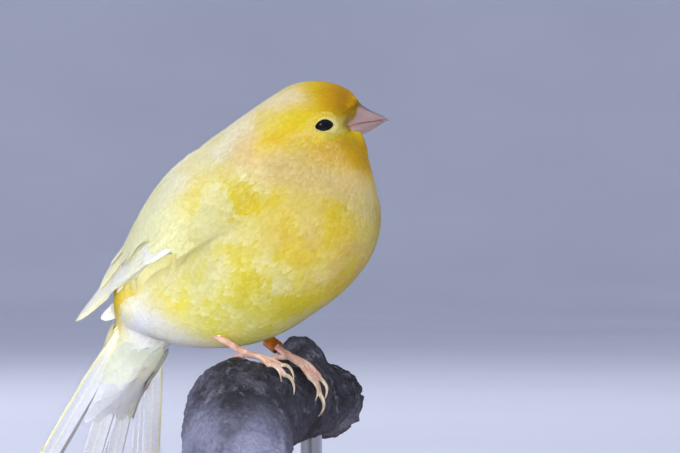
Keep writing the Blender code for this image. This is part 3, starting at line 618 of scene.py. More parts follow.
def tree_from(points, tris):
    return BVHTree.FromPolygons([Vector(p) for p in points], [tuple(int(i) for i in f) for f in tris])


def body_tree(low, high, rings, sides=96):
    """A search tree of the body's outline between two stations."""
    places = body_at(*flat_grid(np.linspace(low, high, rings), turns(sides)))
    return tree_from(places, grid_tris(rings, sides, wrap=True))


def leaf(steps, seed):
    """One feather's shape: along, across and thickness of its points, and the faces of its top and underside."""
    rng = np.random.default_rng(seed)
    along = np.interp(np.arange(steps) / (steps - 1.0), (0.0, 0.5, 1.0), (0.0, 0.5, 0.95))
    wide = np.interp(along, (0.0, 0.15, 0.35, 0.55, 0.75, 0.9, 1.0), (0.12, 0.6, 0.92, 1.0, 0.84, 0.52, 0.1))
    points = [(0.0, 0.0, 0.5), (0.4, 0.0, 0.5), (0.8, 0.0, 0.3)]
    rims = []
    for side in (-1.0, 1.0):
        rim = []
        for k in range(steps):
            late = max(along[k] - 0.4, 0.0)
            reach = wide[k] * (1.0 + rng.uniform(-0.22, 0.22) * late)
            points.append((along[k] + rng.uniform(-0.06, 0.06) * late, side * reach, rng.uniform(-0.1, 0.3) * late))
            rim.append(len(points) - 1)
        rims.append(rim)
    points.append((1.0 + rng.uniform(-0.04, 0.04), rng.uniform(-0.15, 0.15), 0.1))
    end = len(points) - 1
    points.append((0.3, 0.0, -0.5))
    keel = len(points) - 1
    top, under = [], []
    for rim in rims:
        chain = rim + [end]
        place = 0
        for j in range(len(chain) - 1):
            while place < 2 and along[min(j, steps - 1)] > (0.28, 0.62)[place]:
                top.append((place, place + 1, chain[j]))
                place += 1
            top.append((place, chain[j + 1], chain[j]))
            under.append((keel, chain[j + 1], chain[j]))
    under.append((keel, rims[0][0], rims[1][0]))
    top.append((0, rims[0][0], rims[1][0]))
    return facing_both(np.array(points), top, under)


def facing_both(points, top, under):
    """Turn every face of the top up and every face of the underside down."""
    def facing(faces, way):
        out = []
        for a, b, c in faces:
            p, q, r = points[a], points[b], points[c]
            turn = (q[0] - p[0]) * (r[1] - p[1]) - (q[1] - p[1]) * (r[0] - p[0])
            out.append((a, b, c) if turn * way > 0.0 else (a, c, b))
        return out

    return points, np.array(facing(top, 1.0)), np.array(facing(under, -1.0))


def frame_of(surface, a, b):
    """Place, its change along each direction, and the outward normal of a surface."""
    step = 0.02
    here = surface(a, b)
    along_a = (surface(a + step, b) - surface(a - step, b)) / (2.0 * step)
    along_b = (surface(a, b + step) - surface(a, b - step)) / (2.0 * step)
    normal = unit(np.cross(along_a, along_b))
    return here, along_a, along_b, normal


class Coat:
    """Feathers laid on a surface, gathered into one piece."""

    def __init__(self, surface, unwrap, over=None):
        self.surface = surface
        self.unwrap = unwrap
        self.over = over
        self.parts = []

    def lay(self, a, b, length, half, turn, depth, lift, template, colour, tip_colour, frost, rows=6):
        """Lay one feather at each root, running towards lower a."""
        points, top, under = template
        n = len(a)
        control = np.zeros((n, rows, 3, 3))
        normals = np.zeros((n, rows, 3))
        at_a, at_b = a.copy(), b.copy()
        step = length / (rows - 1.0)
        for k in range(rows):
            here, along_a, along_b, normal = frame_of(self.surface, at_a, at_b)
            size_a = np.linalg.norm(along_a, axis=1)
            size_b = np.maximum(np.linalg.norm(along_b, axis=1), 0.5)
            wide_a = half * np.sin(turn) / size_a
            wide_b = half * np.cos(turn) / size_b
            normals[:, k] = -normal
            control[:, k, 1] = here
            for j, w in ((0, -1.0), (2, 1.0)):
                control[:, k, j] = self.surface(at_a + w * wide_a, at_b + w * wide_b)
            at_a = at_a - step * np.cos(turn) / size_a
            at_b = at_b + step * np.sin(turn) / size_b
        along_s = np.linspace(0.0, 1.0, rows)
        rise = lift[:, None] * ease(along_s, 0.2, 0.9)[None]
        rise = -depth[:, None] * (1.0 - ease(along_s, 0.0, 0.36))[None] + rise
        raised = control + normals[:, :, None] * rise[:, :, None, None]
        if self.over is not None:
            raised = self.over(control, raised, normals)
        along, aside, thickness = points.T
        s = along * (rows - 1.0)
        low = np.clip(s.astype(int), 0, rows - 2)
        f = s - low
        line = raised[:, low] * (1.0 - f)[None, :, None, None] + raised[:, low + 1] * f[None, :, None, None]
        w = aside[None, :, None]
        first, middle, last = line[:, :, 0], line[:, :, 1], line[:, :, 2]
        place = middle + w * (last - first) / 2.0
        place = place + w * w * (last + first - 2.0 * middle) / 2.0
        normal = unit(normals[:, low] * (1.0 - f)[None, :, None] + normals[:, low + 1] * f[None, :, None])
        thick = 0.14 + 0.01 * half[:, None]
        place = place + normal * (thickness[None] * thick - 0.1 * np.abs(aside[None]) ** 2)[..., None]
        across = unit(last - first)
        onward = unit(raised[:, -1, 1] - raised[:, 0, 1])[:, None]
        shade = normal + across * (0.1 * aside)[None, :, None] + onward * (0.05 * along ** 3)[None, :, None]
        blend = ease(along, 0.2, 0.9)[None, :, None]
        tint = colour[:, None] * (1.0 - blend) + tip_colour[:, None] * blend
        tint = tint + (FROST - tint) * (frost[:, None] * ease(along, 0.6, 0.95)[None])[..., None]
        strand = along[None] * length[:, None] - np.abs(aside)[None] * half[:, None] * 1.1
        u, v = self.unwrap(a, b)
        spot = np.stack((u[:, None] + 0.0013 * aside[None], v[:, None] - 0.003 * (along[None] - 0.5)), -1)
        self.parts.append((place, unit(shade), tint, strand, spot, top, under))

    def piece(self, name, look, slot):
        """Join everything laid so far into one object."""
        all_points, all_tris, all_tint, all_strand, all_uv, all_normals = [], [], [], [], [], []
        start = 0
        for place, shade, tint, strand, spot, top, under in self.parts:
            n, m = place.shape[:2]
            base = (start + np.arange(n) * m)[:, None, None]
            for faces, way in ((top, 1.0), (under, -1.0)):
                if len(faces):
                    all_tris.append((base + faces[None]).reshape(-1, 3))
                    all_normals.append((shade[:, faces] * way).reshape(-1, 3))
            all_points.append(place.reshape(-1, 3))
            all_tint.append(tint.reshape(-1, 3))
            all_strand.append(strand.reshape(-1))
            all_uv.append(spot.reshape(-1, 2))
            start += n * m
        made = tri_mesh(
            name, np.concatenate(all_points), np.concatenate(all_tris), look, np.concatenate(all_tint),
            np.concatenate(all_strand), np.concatenate(all_uv), np.concatenate(all_normals),
        )
        self.parts = []
        return made


NEAR_CELLS = tuple((i - 1, j - 1, k - 1) for i, j, k in np.ndindex(3, 3, 3))


def scatter(surface, a_range, b_range, spacing, seed, keep=None):
    """Roots on a surface, nowhere nearer to each other than the spacing there."""
    rng = np.random.default_rng(seed)

    def drawn(count):
        a = rng.uniform(*a_range, count)
        b = rng.uniform(*b_range, count)
        here, along_a, along_b, normal = frame_of(surface, a, b)
        space = spacing(a, b)
        return a, b, here, space, np.linalg.norm(np.cross(along_a, along_b), axis=1) / space ** 2

    weight = drawn(4000)[-1]
    count = int(weight.mean() * (a_range[1] - a_range[0]) * (b_range[1] - b_range[0]) * 3.2)
    peak = np.percentile(weight, 99.5)
    tries = int(count * peak / weight.mean())
    a, b, here, space, weight = drawn(tries)
    chosen = rng.uniform(0.0, peak, tries) < weight
    if keep is not None:
        chosen &= keep(a, b, here)
    a, b, here, space = a[chosen], b[chosen], here[chosen], space[chosen]
    keys = np.floor(here / float(space.max())).astype(int).tolist()
    cells, kept = {}, []
    for i, (p, limit) in enumerate(zip(here.tolist(), (space ** 2).tolist())):
        x, y, z = keys[i]
        if not any(
            (p[0] - q[0]) ** 2 + (p[1] - q[1]) ** 2 + (p[2] - q[2]) ** 2 < limit
            for dx, dy, dz in NEAR_CELLS for q in cells.get((x + dx, y + dy, z + dz), ())
        ):
            cells.setdefault((x, y, z), []).append(p)
            kept.append(i)
    return a[kept], b[kept], here[kept]


# Skin

def skin_depth(t):
    return np.interp(t, COAT_STATIONS, COAT_DEPTHS)


def body_normals(t, theta):
    return -frame_of(body_at, np.maximum(t, 0.03), theta)[3]


def round_map(start, span):
    """A map by the angle round a shape, and by the station from the start over the span."""
    def unwrap(t, theta):
        around = np.mod(theta, FULL_TURN) / FULL_TURN
        return 0.02 + 0.96 * around, 0.03 + 0.94 * (np.asarray(t) - start) / span
    return unwrap


body_unwrap = round_map(-1.0, 14.0)


def make_skin(look):
    rings, sides = 150, 128
    t, theta = flat_grid(np.linspace(0.0, 13.0, rings), turns(sides))
    points = body_at(t, theta)
    colours, frost = markings(t, theta, points)
    rough = 0.12 * (noise(points, 1.6, 21) - 0.5)
    inside = points - body_normals(t, theta) * (skin_depth(t) + rough)[:, None]
    values = (inside, colours, np.stack(body_unwrap(t, theta), -1))
    inside, colours, uv = (with_middles(value, sides) for value in values)
    tris = closed_tris(rings, sides)
    made = tri_mesh("skin", inside, tris, look, colours, np.zeros(len(inside)), uv)
    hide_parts("torso", "neck", "head")


# Wings

def wing_at(t, v):
    low, middle, high = (rows_at([row[k] for row in WING], t) for k in range(3))
    v = np.asarray(v, float)[..., None]
    return low * (1.0 - v) * (1.0 - 2.0 * v) + middle * 4.0 * v * (1.0 - v) + high * v * (2.0 * v - 1.0)


def wing_axes(t, v):
    """Place, direction to the upper edge and outward normal of the folded right wing, at many places."""
    last = len(WING) - 1.0
    step = 0.05
    onward = wing_at(np.minimum(t + step, last), v) - wing_at(np.maximum(t - step, 0.0), v)
    rise = wing_at(t, np.minimum(v + step, 1.0)) - wing_at(t, np.maximum(v - step, 0.0))
    normal = unit(np.cross(onward, rise))
    normal = normal * np.where(normal[..., 1:2] > 0.0, -1.0, 1.0)
    across = unit(np.cross(onward, normal))
    across = across * np.where((across * rise).sum(-1, keepdims=True) < 0.0, -1.0, 1.0)
    return wing_at(t, v), across, normal


BODY_TREE = body_tree(0.0, 9.5, 110)


def clear_of_body(points, clearance):
    """The places, moved out where they lie nearer than the clearance to the body's outline, or in it."""
    out = points.copy()
    flat = out.reshape(-1, 3)
    for i, p in enumerate(flat):
        skin, normal, index, away = BODY_TREE.find_nearest(Vector(p))
        skin, outward = np.array(skin), np.array(normal)
        if outward @ (skin - BODY_MIDDLE) < 0.0:
            outward = -outward
        if (p - skin) @ outward < clearance:
            flat[i] = skin + outward * clearance
    return out


def cover_sheet():
    """The outer side of the right wing's front half, which the coat passes over."""
    t, v = flat_grid(np.linspace(0.0, COVER_END, COVER_ROWS), np.linspace(0.02, 0.99, COVER_COLUMNS))
    place, across, normal = wing_axes(t, v)
    height = np.interp(t, (0.0, 0.25, 0.7, 1.2, 2.7), (0.0, 0.9, 2.0, 2.45, 2.3))
    height = height * (1.0 - 0.7 * ((1.0 - ease(t, 0.6, 1.5)) * (1.0 - ease(v, 0.0, 0.45))))
    height = height * (1.0 - 0.25 * np.abs(2.0 * v - 1.0) ** 4)
    return clear_of_body(place, 0.5) + normal * height[:, None]


COVER_POINTS = cover_sheet()
COVER_TREE = tree_from(COVER_POINTS, grid_tris(COVER_ROWS, COVER_COLUMNS))
COVER_LOW = COVER_POINTS.min(0) - 6.0
COVER_HIGH = COVER_POINTS.max(0) + 6.0


def wing_over(points, normals):
    """Height of the wing's outer side over places on the body, and the wing's station and rise there, or -1."""
    mirrored = np.where(points[:, 1:2] > 0.0, MIRROR, 1.0)
    points = points * mirrored
    normals = normals * mirrored
    heights = np.full(len(points), -1.0)
    stations = np.full(len(points), -1.0)
    rises = np.full(len(points), 0.5)
    near = np.all((points > COVER_LOW) & (points < COVER_HIGH), axis=1)
    per_row = COVER_COLUMNS - 1
    quads = (COVER_ROWS - 1) * per_row
    for i in np.nonzero(near)[0]:
        start = points[i] + normals[i] * 9.0
        hit, normal, index, away = COVER_TREE.ray_cast(Vector(start), Vector(-normals[i]), 11.0)
        if hit is not None:
            heights[i] = 9.0 - away
            stations[i] = COVER_END * ((index % quads) // per_row) / (COVER_ROWS - 1.0)
            rises[i] = ((index % quads) % per_row) / (per_row - 1.0)
    return heights, stations, rises


def lift_over_wing(control, raised, normals):
    """Raise the feathers that cross the wing onto its outer side."""
    n, rows = control.shape[:2]
    spread = np.broadcast_to(normals[:, :, None], control.shape)
    need = wing_over(control.reshape(-1, 3), spread.reshape(-1, 3))[0].reshape(n, rows, 3)
    need = np.where(need > -0.5, need + 0.12 + 0.5 * (np.linspace(0.0, 1.0, rows) - 0.6)[None, :, None], -9.0)
    now = ((raised - control) * spread).sum(-1)
    need = np.maximum(need, need.max(2, keepdims=True) - 0.5)
    for k in range(rows - 2, -1, -1):
        need[:, k] = np.maximum(need[:, k], need[:, k + 1] - 1.1)
    for k in range(1, rows):
        need[:, k] = np.maximum(need[:, k], need[:, k - 1] - 0.7)
    better = np.maximum(now, need)
    return raised + spread * (better - now)[..., None]


def blade(places, acrosses, normals, halves, tilt, curl, columns):
    """A closed feather vane as a grid: its points, triangles, place across and distance along."""
    count = len(places)
    w = np.linspace(-1.0, 1.0, columns)
    spots = []
    for face, raised in ((1.0, 1.0), (-1.0, 0.3)):
        shift = acrosses[:, None] * (w[None, :, None] * halves[:, None, None])
        shaft = np.exp(-(w / 0.09) ** 2) * 0.28 * raised
        edge = (1.0 - 0.8 * np.abs(w) ** 3) * VANE_THICK
        deep = face * (edge / 2.0)[None] + face * shaft[None] * np.linspace(1.0, 0.25, count)[:, None]
        deep = deep - (tilt * w)[None] - (curl * w * w)[None] * (halves / halves.max())[:, None]
        spots.append((places[:, None] + shift + normals[:, None] * deep[..., None]).reshape(-1, 3))
    steps = np.concatenate(([0.0], np.cumsum(np.linalg.norm(np.diff(places, axis=0), axis=1))))
    across = np.tile(np.tile(w, count), 2)
    along = np.tile(np.repeat(steps, columns), 2)
    return np.vstack(spots), sheet_tris(count, columns, True), across, along


VANE_S = np.concatenate((np.linspace(0.0, 0.8, 22), np.linspace(0.83, 1.0, 12)))


def vane_width(s, point):
    """Width of a vane from root to tip, as a share of its widest."""
    root = 0.45 + 0.55 * ease(s, 0.0, 0.35)
    tip = np.sqrt(np.maximum(1.0 - np.maximum((s - 1.0 + point) / point, 0.0) ** 2, 0.0))
    return root * np.maximum(tip, 0.06)


def gather(parts):
    """Join blades to one set of arrays, each with its own strip of the map."""
    joined = []
    start = 0
    for k, (spots, faces, across, along, tint) in enumerate(parts):
        face = np.repeat((0.0, 0.5), len(across) // 2)
        u = (k + 0.04 + face + 0.42 * (across * 0.5 + 0.5)) / len(parts)
        uv = np.stack((u, 0.02 + 0.96 * along / along.max()), -1)
        joined.append((spots, outward_faces(spots, faces) + start, tint, along - np.abs(across) * 2.6, uv))
        start += len(spots)
    return [np.concatenate(values) for values in zip(*joined)]


def flight_tint(across, base, edge, shade):
    """Colour of a flight feather: pale web, an edge of another colour on its outer side, and a shaded inner web."""
    outer = ease(-across, 0.55, 0.95)
    inner = ease(across, 0.0, 0.9)
    tint = np.broadcast_to(base, (len(across), 3)).copy()
    tint = mix(tint, shade, inner * 0.6)
    tint = mix(tint, edge, outer)
    shaft = np.exp(-(across / 0.08) ** 2)
    return mix(tint, linear(238, 232, 205), shaft * 0.6)


def make_wings(look):
    rng = np.random.default_rng(31)
    parts = []
    for tier, point, base, edge, shade, tilt in WING_TIERS:
        base, edge, shade = linear(*base), linear(*edge), linear(*shade)
        for root, tip, half, height in tier:
            order = 0.012 * len(parts)
            t, v = (root[n] + (tip[n] - root[n]) * VANE_S for n in (0, 1))
            place, across, normal = wing_axes(t, v)
            height = height * (1.0 - 0.25 * VANE_S) * (0.5 + 0.5 * ease(VANE_S, 0.0, 0.25)) + order
            place = clear_of_body(place, 0.55) + normal * height[:, None]
            spots, faces, w, along = blade(place, across, normal, half * vane_width(VANE_S, point), tilt, 0.12, 11)
            low = clear_of_body(spots, 0.42 + order)
            jitter = 1.0 + rng.uniform(-0.03, 0.03)
            parts.append((low, faces, w, along, flight_tint(w, base, edge, shade) * jitter))
    points, tris, tint, strand, uv = gather(parts)
    rows, columns = 40, 14
    t, v = flat_grid(np.linspace(0.35, 3.1, rows), np.linspace(0.04, 0.98, columns))
    place, across, normal = wing_axes(t, v)
    inner = clear_of_body(place, 0.35)
    thick = np.interp(t, (0.35, 0.7, 1.2, 2.2, 3.1), (0.15, 0.8, 1.5, 1.1, 0.5))
    thick = thick * (1.0 - 0.75 * np.abs(2.0 * v - 1.0) ** 3)
    core = np.vstack((inner, inner + normal * np.maximum(thick, 0.15)[:, None]))
    core_tris = outward_faces(core, sheet_tris(rows, columns, False))
    core_tint = np.broadcast_to(CREAM, core.shape)
    core_uv = np.tile(np.stack((0.02 + 0.96 * v, 0.02 + 0.96 * t / 3.1), -1), (2, 1))
    for side, way, turn in (("right", 1, 1.0), ("left", -1, MIRROR)):
        quills = tri_mesh(
            f"wing_feathers_{side}", points * turn, tris[:, ::way], look, tint, strand, uv,
        )
        flesh = tri_mesh(
            f"wing_core_{side}", core * turn, core_tris[:, ::way], look,
            core_tint, np.zeros(len(core)), core_uv,
        )
        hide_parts(f"wing_{side}")
        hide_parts(f"wing_{side}")


# Tail

def make_tail(look):
    rng = np.random.default_rng(32)
    middle = (len(TAIL_FEATHERS) - 1) / 2.0
    parts = []
    for k, (aside, angle, length) in enumerate(TAIL_FEATHERS):
        turn = math.radians(angle)
        onward = TAIL_STRAIGHT * math.cos(turn) + LEFT * math.sin(turn)
        across = LEFT * math.cos(turn) - TAIL_STRAIGHT * math.sin(turn)
        side = 1.0 if k > middle else -1.0
        root = np.array((TAIL_ROOT[0], aside, TAIL_ROOT[1])) + TAIL_BACK * (-0.3 * abs(k - middle))
        bow = 0.7 * VANE_S * VANE_S
        places = root + onward * (2.5 + (length - 2.5) * VANE_S[:, None]) + TAIL_BACK * bow[:, None] * 0.6
        across, back = (np.tile(way, (len(VANE_S), 1)) for way in (across, TAIL_BACK))
        halves = TAIL_VANE_HALF * 0.97 * vane_width(VANE_S, 0.14)
        spots, faces, w, along = blade(places, across, back, halves, -0.3 * side, 0.25, 13)
        base = linear(214, 221, 238) * (1.0 + rng.uniform(-0.03, 0.03))
        yellow = 0.95 if abs(k - middle) > middle - 1.5 else 0.22
        tint = np.broadcast_to(base, spots.shape).copy()
        for colour, weight in (
            (linear(222, 227, 240), ease(-w * side, 0.0, 0.9) * 0.6),
            (linear(238, 238, 150), ease(w * side, 0.72, 0.95) * yellow),
            (linear(240, 236, 190), (1.0 - ease(along, 4.0, 22.0)) * 0.5),
            (linear(240, 238, 222), np.exp(-(w / 0.07) ** 2) * 0.7),
        ):
            tint = mix(tint, colour, weight)
        parts.append((spots, faces, w, along, tint))
    points, tris, tint, strand, uv = gather(parts)
    made = tri_mesh("tail_feathers", points, tris, look, tint, strand, uv)
    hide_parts("tail")


def tail_cover_at(t, theta):
    """Outline of the tail's root, which the last feathers of the body lie on: t runs from 0 down to -1."""
    f = np.clip(-np.asarray(t, float), 0.0, 1.4)
    deep = 8.6 * np.maximum(1.0 - f, 0.0) ** 1.2 * (f < 1.0) + 2.4
    wide = 7.6 + 2.4 * f
    middle = TAIL_COVER_ROOT + TAIL_STRAIGHT * (26.0 * f)[..., None] + TAIL_BACK * (3.2 * f)[..., None]
    middle = middle + LEFT * (0.8 * f)[..., None]
    return middle + TAIL_BACK * (deep * np.cos(theta))[..., None] - LEFT * (wide * np.sin(theta))[..., None]


# Coat

COAT_T = (-0.6, 2.0, 6.0, 7.5, 8.6, 9.6, 10.6, 11.6, 12.4, 13.0)


def spacing_of(t, theta):
    return np.interp(t, COAT_T, (0.98, 0.95, 0.86, 0.7, 0.56, 0.45, 0.37, 0.3, 0.255, 0.23))


def length_of(t):
    return np.interp(t, COAT_T, (8.5, 8.0, 7.0, 5.6, 4.0, 2.9, 2.2, 1.65, 1.3, 1.1))


def half_of(t):
    return np.interp(t, COAT_T, (1.5, 1.45, 1.35, 1.1, 0.84, 0.62, 0.48, 0.38, 0.31, 0.27))


def eye_frames():
    """Middle, outward direction and the head's direction ahead and up at each eye."""
    head = body_tree(8.0, 13.0, 60)
    found = {}
    for side, name in ((1.0, "right"), (-1.0, "left")):
        inside = in_head(EYE_AHEAD, 0.0, EYE_HEIGHT)
        outward = (in_head(EYE_AHEAD, side, EYE_HEIGHT) - inside).normalized()
        face, normal, index, reach = head.ray_cast(inside, outward)
        if normal.dot(outward) < 0.0:
            normal = -normal
        outward = (outward + normal).normalized()
        centre = face - outward * (EYE_RADIUS - EYE_SHOWS)
        up = Vector((0.0, 0.0, 1.0))
        up = (up - outward * up.dot(outward)).normalized()
        ahead = up.cross(outward) * (1.0 if side < 0.0 else -1.0)
        if ahead.dot(in_head(1.0, 0.0, 0.0) - in_head(0.0, 0.0, 0.0)) < 0.0:
            ahead = -ahead
        level, rise = math.cos(EYE_SLANT), math.sin(EYE_SLANT)
        ahead, up = ahead * level + up * rise, up * level - ahead * rise
        found[name] = tuple(np.array(x) for x in (centre, outward, ahead, up))
    return found


EYES = eye_frames()


def eye_room(points):
    """How far each place lies from the nearer eye's opening, 1 at its rim."""
    best = np.full(len(points), 99.0)
    for centre, outward, ahead, up in EYES.values():
        off = points - centre
        far = np.hypot(off @ ahead / LID_LONG, off @ up / LID_HIGH)
        best = np.minimum(best, np.where((off @ outward) > -1.6, far, 99.0))
    return best


def free_of_eye(t, theta, here):
    """True where a feather's whole length stays off the opening of an eye."""
    clear = eye_room(here) > 1.12
    pace = np.linalg.norm(body_at(t + 0.05, theta) - here, axis=1) / 0.05
    for f in (0.3, 0.6, 0.9):
        clear &= eye_room(body_at(t - f * length_of(t) / pace, theta)) > 1.16
    return clear


def free_of_wing(t, theta, here):
    heights, stations, rises = wing_over(here, body_normals(t, theta))
    return stations < 1.25 + 1.2 * ease(rises, 0.3, 0.62)


def grow(coat, keep, name, t_range, barbs, seed, look):
    """Scatter and lay the feathers of one region of the body, and make them one piece."""
    rng = np.random.default_rng(seed + 500)
    scale = 1.0
    t, theta, here = scatter(body_at, t_range, ALL_ROUND, lambda a, b: spacing_of(a, b) * scale, seed, keep)
    kinds = 5
    kind = rng.integers(0, kinds, len(t))
    length = length_of(t) * rng.uniform(0.88, 1.12, len(t))
    half = half_of(t) * rng.uniform(0.9, 1.1, len(t))
    turn = rng.normal(0.0, 0.11, len(t)) + 0.35 * (noise(here, 12.0, 41) - 0.5)
    depth = skin_depth(t) * 0.8
    lift = np.interp(t, (0.0, 7.0, 9.0, 13.0), (0.1, 0.1, 0.055, 0.025)) * rng.uniform(0.2, 1.9, len(t))
    colours, frost = markings(t, theta, here)
    tip_t = t - length / 13.0
    tip_colours = markings(tip_t, theta, body_at(tip_t, theta))[0]
    if coat.over is not None:
        stations = wing_over(here, body_normals(t, theta))[1]
        pale = 0.85 * ease(stations, 0.6, 1.6)
        colours, tip_colours = mix(colours, WING_PALE, pale), mix(tip_colours, WING_PALE, pale)
    shade = rng.uniform(0.95, 1.04, (len(t), 1))
    colours, tip_colours = colours * shade, tip_colours * shade
    for k in range(kinds):
        shape = (values[kind == k] for values in (t, theta, length, half, turn, depth, lift))
        pale = frost * rng.uniform(0.4, 1.3, len(t))
        coat.lay(*shape, leaf(barbs, seed * 10 + k), *(values[kind == k] for values in (colours, tip_colours, pale)))
    coat.piece(name, look, "feather_yellow")


def strands():
    """A tuft of three loose barbs, each a thin closed spike."""
    points, top, under = [], [], []
    for start, end, low, high in ((-0.45, -1.1, 0.0, 0.85), (0.0, 0.15, 0.1, 1.0), (0.5, 1.0, 0.05, 0.92)):
        k = len(points)
        points += [(low, start - 0.13, 0.0), (low, start + 0.13, 0.0), (low + 0.08, start, 0.32), (high, end, 0.1)]
        top += [(k, k + 3, k + 2), (k + 2, k + 3, k + 1), (k, k + 2, k + 1)]
        under += [(k, k + 1, k + 3)]
    return facing_both(np.array(points), top, under)


def grow_filaments(coat, keep, name, t_range, seed, look):
    """Fine loose barbs over the coat, which soften the edges of its feathers."""
    rng = np.random.default_rng(seed)
    count = 13000
    tries = count * 4
    t = rng.uniform(*t_range, tries)
    theta = rng.uniform(-math.pi, math.pi, tries)
    here, along_a, along_b, normal = frame_of(body_at, np.maximum(t, 0.03), theta)
    weight = np.linalg.norm(np.cross(along_a, along_b), axis=1) / length_of(t) ** 1.1
    chosen = rng.uniform(0.0, np.percentile(weight, 99.0), tries) < weight
    chosen &= keep(t, theta, here)
    t, theta, here = t[chosen][:count], theta[chosen][:count], here[chosen][:count]
    n = len(t)
    length = length_of(t) * rng.uniform(0.25, 0.5, n)
    half, lift, root = (np.interp(t, (0.0, 7.0, 10.0, 13.0), row) for row in BARB_ROWS)
    turn = rng.normal(0.0, 0.22, n) + 0.35 * (noise(here, 12.0, 41) - 0.5)
    colours, frost = markings(t - 0.25, theta, here)
    colours = colours * rng.uniform(0.9, 1.08, (n, 1))
    lift = lift * rng.uniform(0.3, 1.6, n)
    coat.lay(t, theta, length, half, turn, root, lift, strands(), colours, colours, frost * 0.5, rows=3)
    coat.piece(name, look, "feather_yellow")


def make_coat(look):
    bare = Coat(body_at, body_unwrap), free_of_eye
    over = Coat(body_at, body_unwrap, lift_over_wing), free_of_wing
    for kind, name, stations, barbs, seed in (
        (bare, "coat_face", (11.0, 12.85), 5, 51),
        (bare, "coat_head", (9.0, 11.0), 5, 52),
        (bare, "coat_neck", (7.2, 9.0), 6, 53),
        (over, "coat_breast", (4.2, 7.2), 7, 54),
        (over, "coat_belly", (1.4, 4.2), 7, 55),
        (over, "coat_vent", (-0.25, 1.4), 7, 56),
    ):
        grow(*kind, name, stations, barbs, seed, look)
    for kind, name, stations, seed in (
        (bare, "barbs_head", (9.0, 12.8), 61),
        (bare, "barbs_neck", (6.8, 9.0), 62),
        (over, "barbs_breast", (4.0, 6.8), 63),
        (over, "barbs_belly", (0.2, 4.0), 64),
    ):
        grow_filaments(*kind, name, stations, seed, look)
    make_eye_ring(bare[0], look)
    make_tail_coverts(look)


def make_eye_ring(coat, look):
    """Tiny feathers round each eye, all pointing away from it."""
    t, theta = flat_grid(np.linspace(7.4, 12.8, 340), np.linspace(-math.pi, math.pi, 420))
    places = body_at(t, theta)
    rng = np.random.default_rng(71)
    for side, (centre, outward, ahead, up) in EYES.items():
        off = places - centre
        x, y = off @ ahead, off @ up
        front = (off @ outward) > -1.6
        spots, leans, sizes = [], [], []
        for row, far in enumerate((1.2, 1.36, 1.54, 1.74)):
            count = 46 + 8 * row
            for k in range(count):
                angle = FULL_TURN * (k + 0.5 * (row % 2) + rng.uniform(-0.2, 0.2)) / count
                goal_x = LID_LONG * far * math.cos(angle)
                goal_y = LID_HIGH * (far + 0.12 * (far - 1.0)) * math.sin(angle)
                miss = np.where(front, (x - goal_x) ** 2 + (y - goal_y) ** 2, 1e9)
                spots.append(int(np.argmin(miss)))
                lean = math.atan2(math.sin(angle), math.cos(angle) - 0.35 * row / 3.0)
                leans.append(lean + math.pi if side == "right" else math.pi - lean)
                sizes.append(0.75 + 0.16 * row)
        count = len(spots)
        leans = np.array(leans) + rng.normal(0.0, 0.12, count)
        sizes = np.array(sizes) * rng.uniform(0.85, 1.15, count)
        a, b = t[spots], theta[spots]
        colours, frost = markings(a, b, places[spots])
        colours = mix(colours, linear(236, 224, 130), np.full(count, 0.35))
        low, pale = np.full(count, 0.1), np.full(count, 0.15)
        coat.lay(a, b, sizes, 0.24 + 0.05 * sizes, leans, low, low, leaf(4, 700), colours, colours, pale)
    coat.piece("coat_eye_rings", look, "feather_yellow")


def make_tail_coverts(look):
    coat = Coat(tail_cover_at, round_map(-1.2, 1.3))
    rng = np.random.default_rng(81)
    t, theta, here = scatter(tail_cover_at, (-0.72, 0.0), ALL_ROUND, lambda a, b: np.full(len(a), 1.9), 82)
    above = np.cos(theta)
    t = np.where((above > 0.0) & (t < -0.42), t + 0.42, t)
    length = rng.uniform(9.0, 11.5, len(t)) * np.where(above > 0.0, 0.85, 1.0)
    root = ease(t, -0.5, -0.05)
    upper = ease(above, -0.2, 0.4)
    side = ease(-np.sin(theta), 0.2, 0.9) * ease(-above, 0.0, 0.6)
    # Painted shade: the lower coverts, white feathers, are coloured a shaded grey-blue, less blue at the root and
    # paler at the tips; the upper ones are cream
    colours = mix(np.broadcast_to(linear(182, 188, 205), here.shape), linear(184, 189, 175), root)
    colours = mix(colours, LEMON * 0.4 + CREAM * 0.6, upper * 0.9)
    tips = mix(np.broadcast_to(linear(196, 202, 219), here.shape), linear(199, 204, 191), root)
    tips = mix(mix(tips, CREAM, upper * 0.8), linear(236, 234, 150), side * 0.45)
    for k in range(3):
        who = rng.integers(0, 3, len(t)) == k
        count = int(who.sum())
        coat.lay(
            t[who], theta[who], length[who], np.full(count, 2.3), rng.normal(0.0, 0.08, count),
            np.full(count, 1.0), rng.uniform(0.1, 0.6, count), leaf(8, 820 + k),
            colours[who], tips[who], np.full(count, 0.1),
        )
    coat.piece("coat_tail_root", look, "feather_white")


# Head

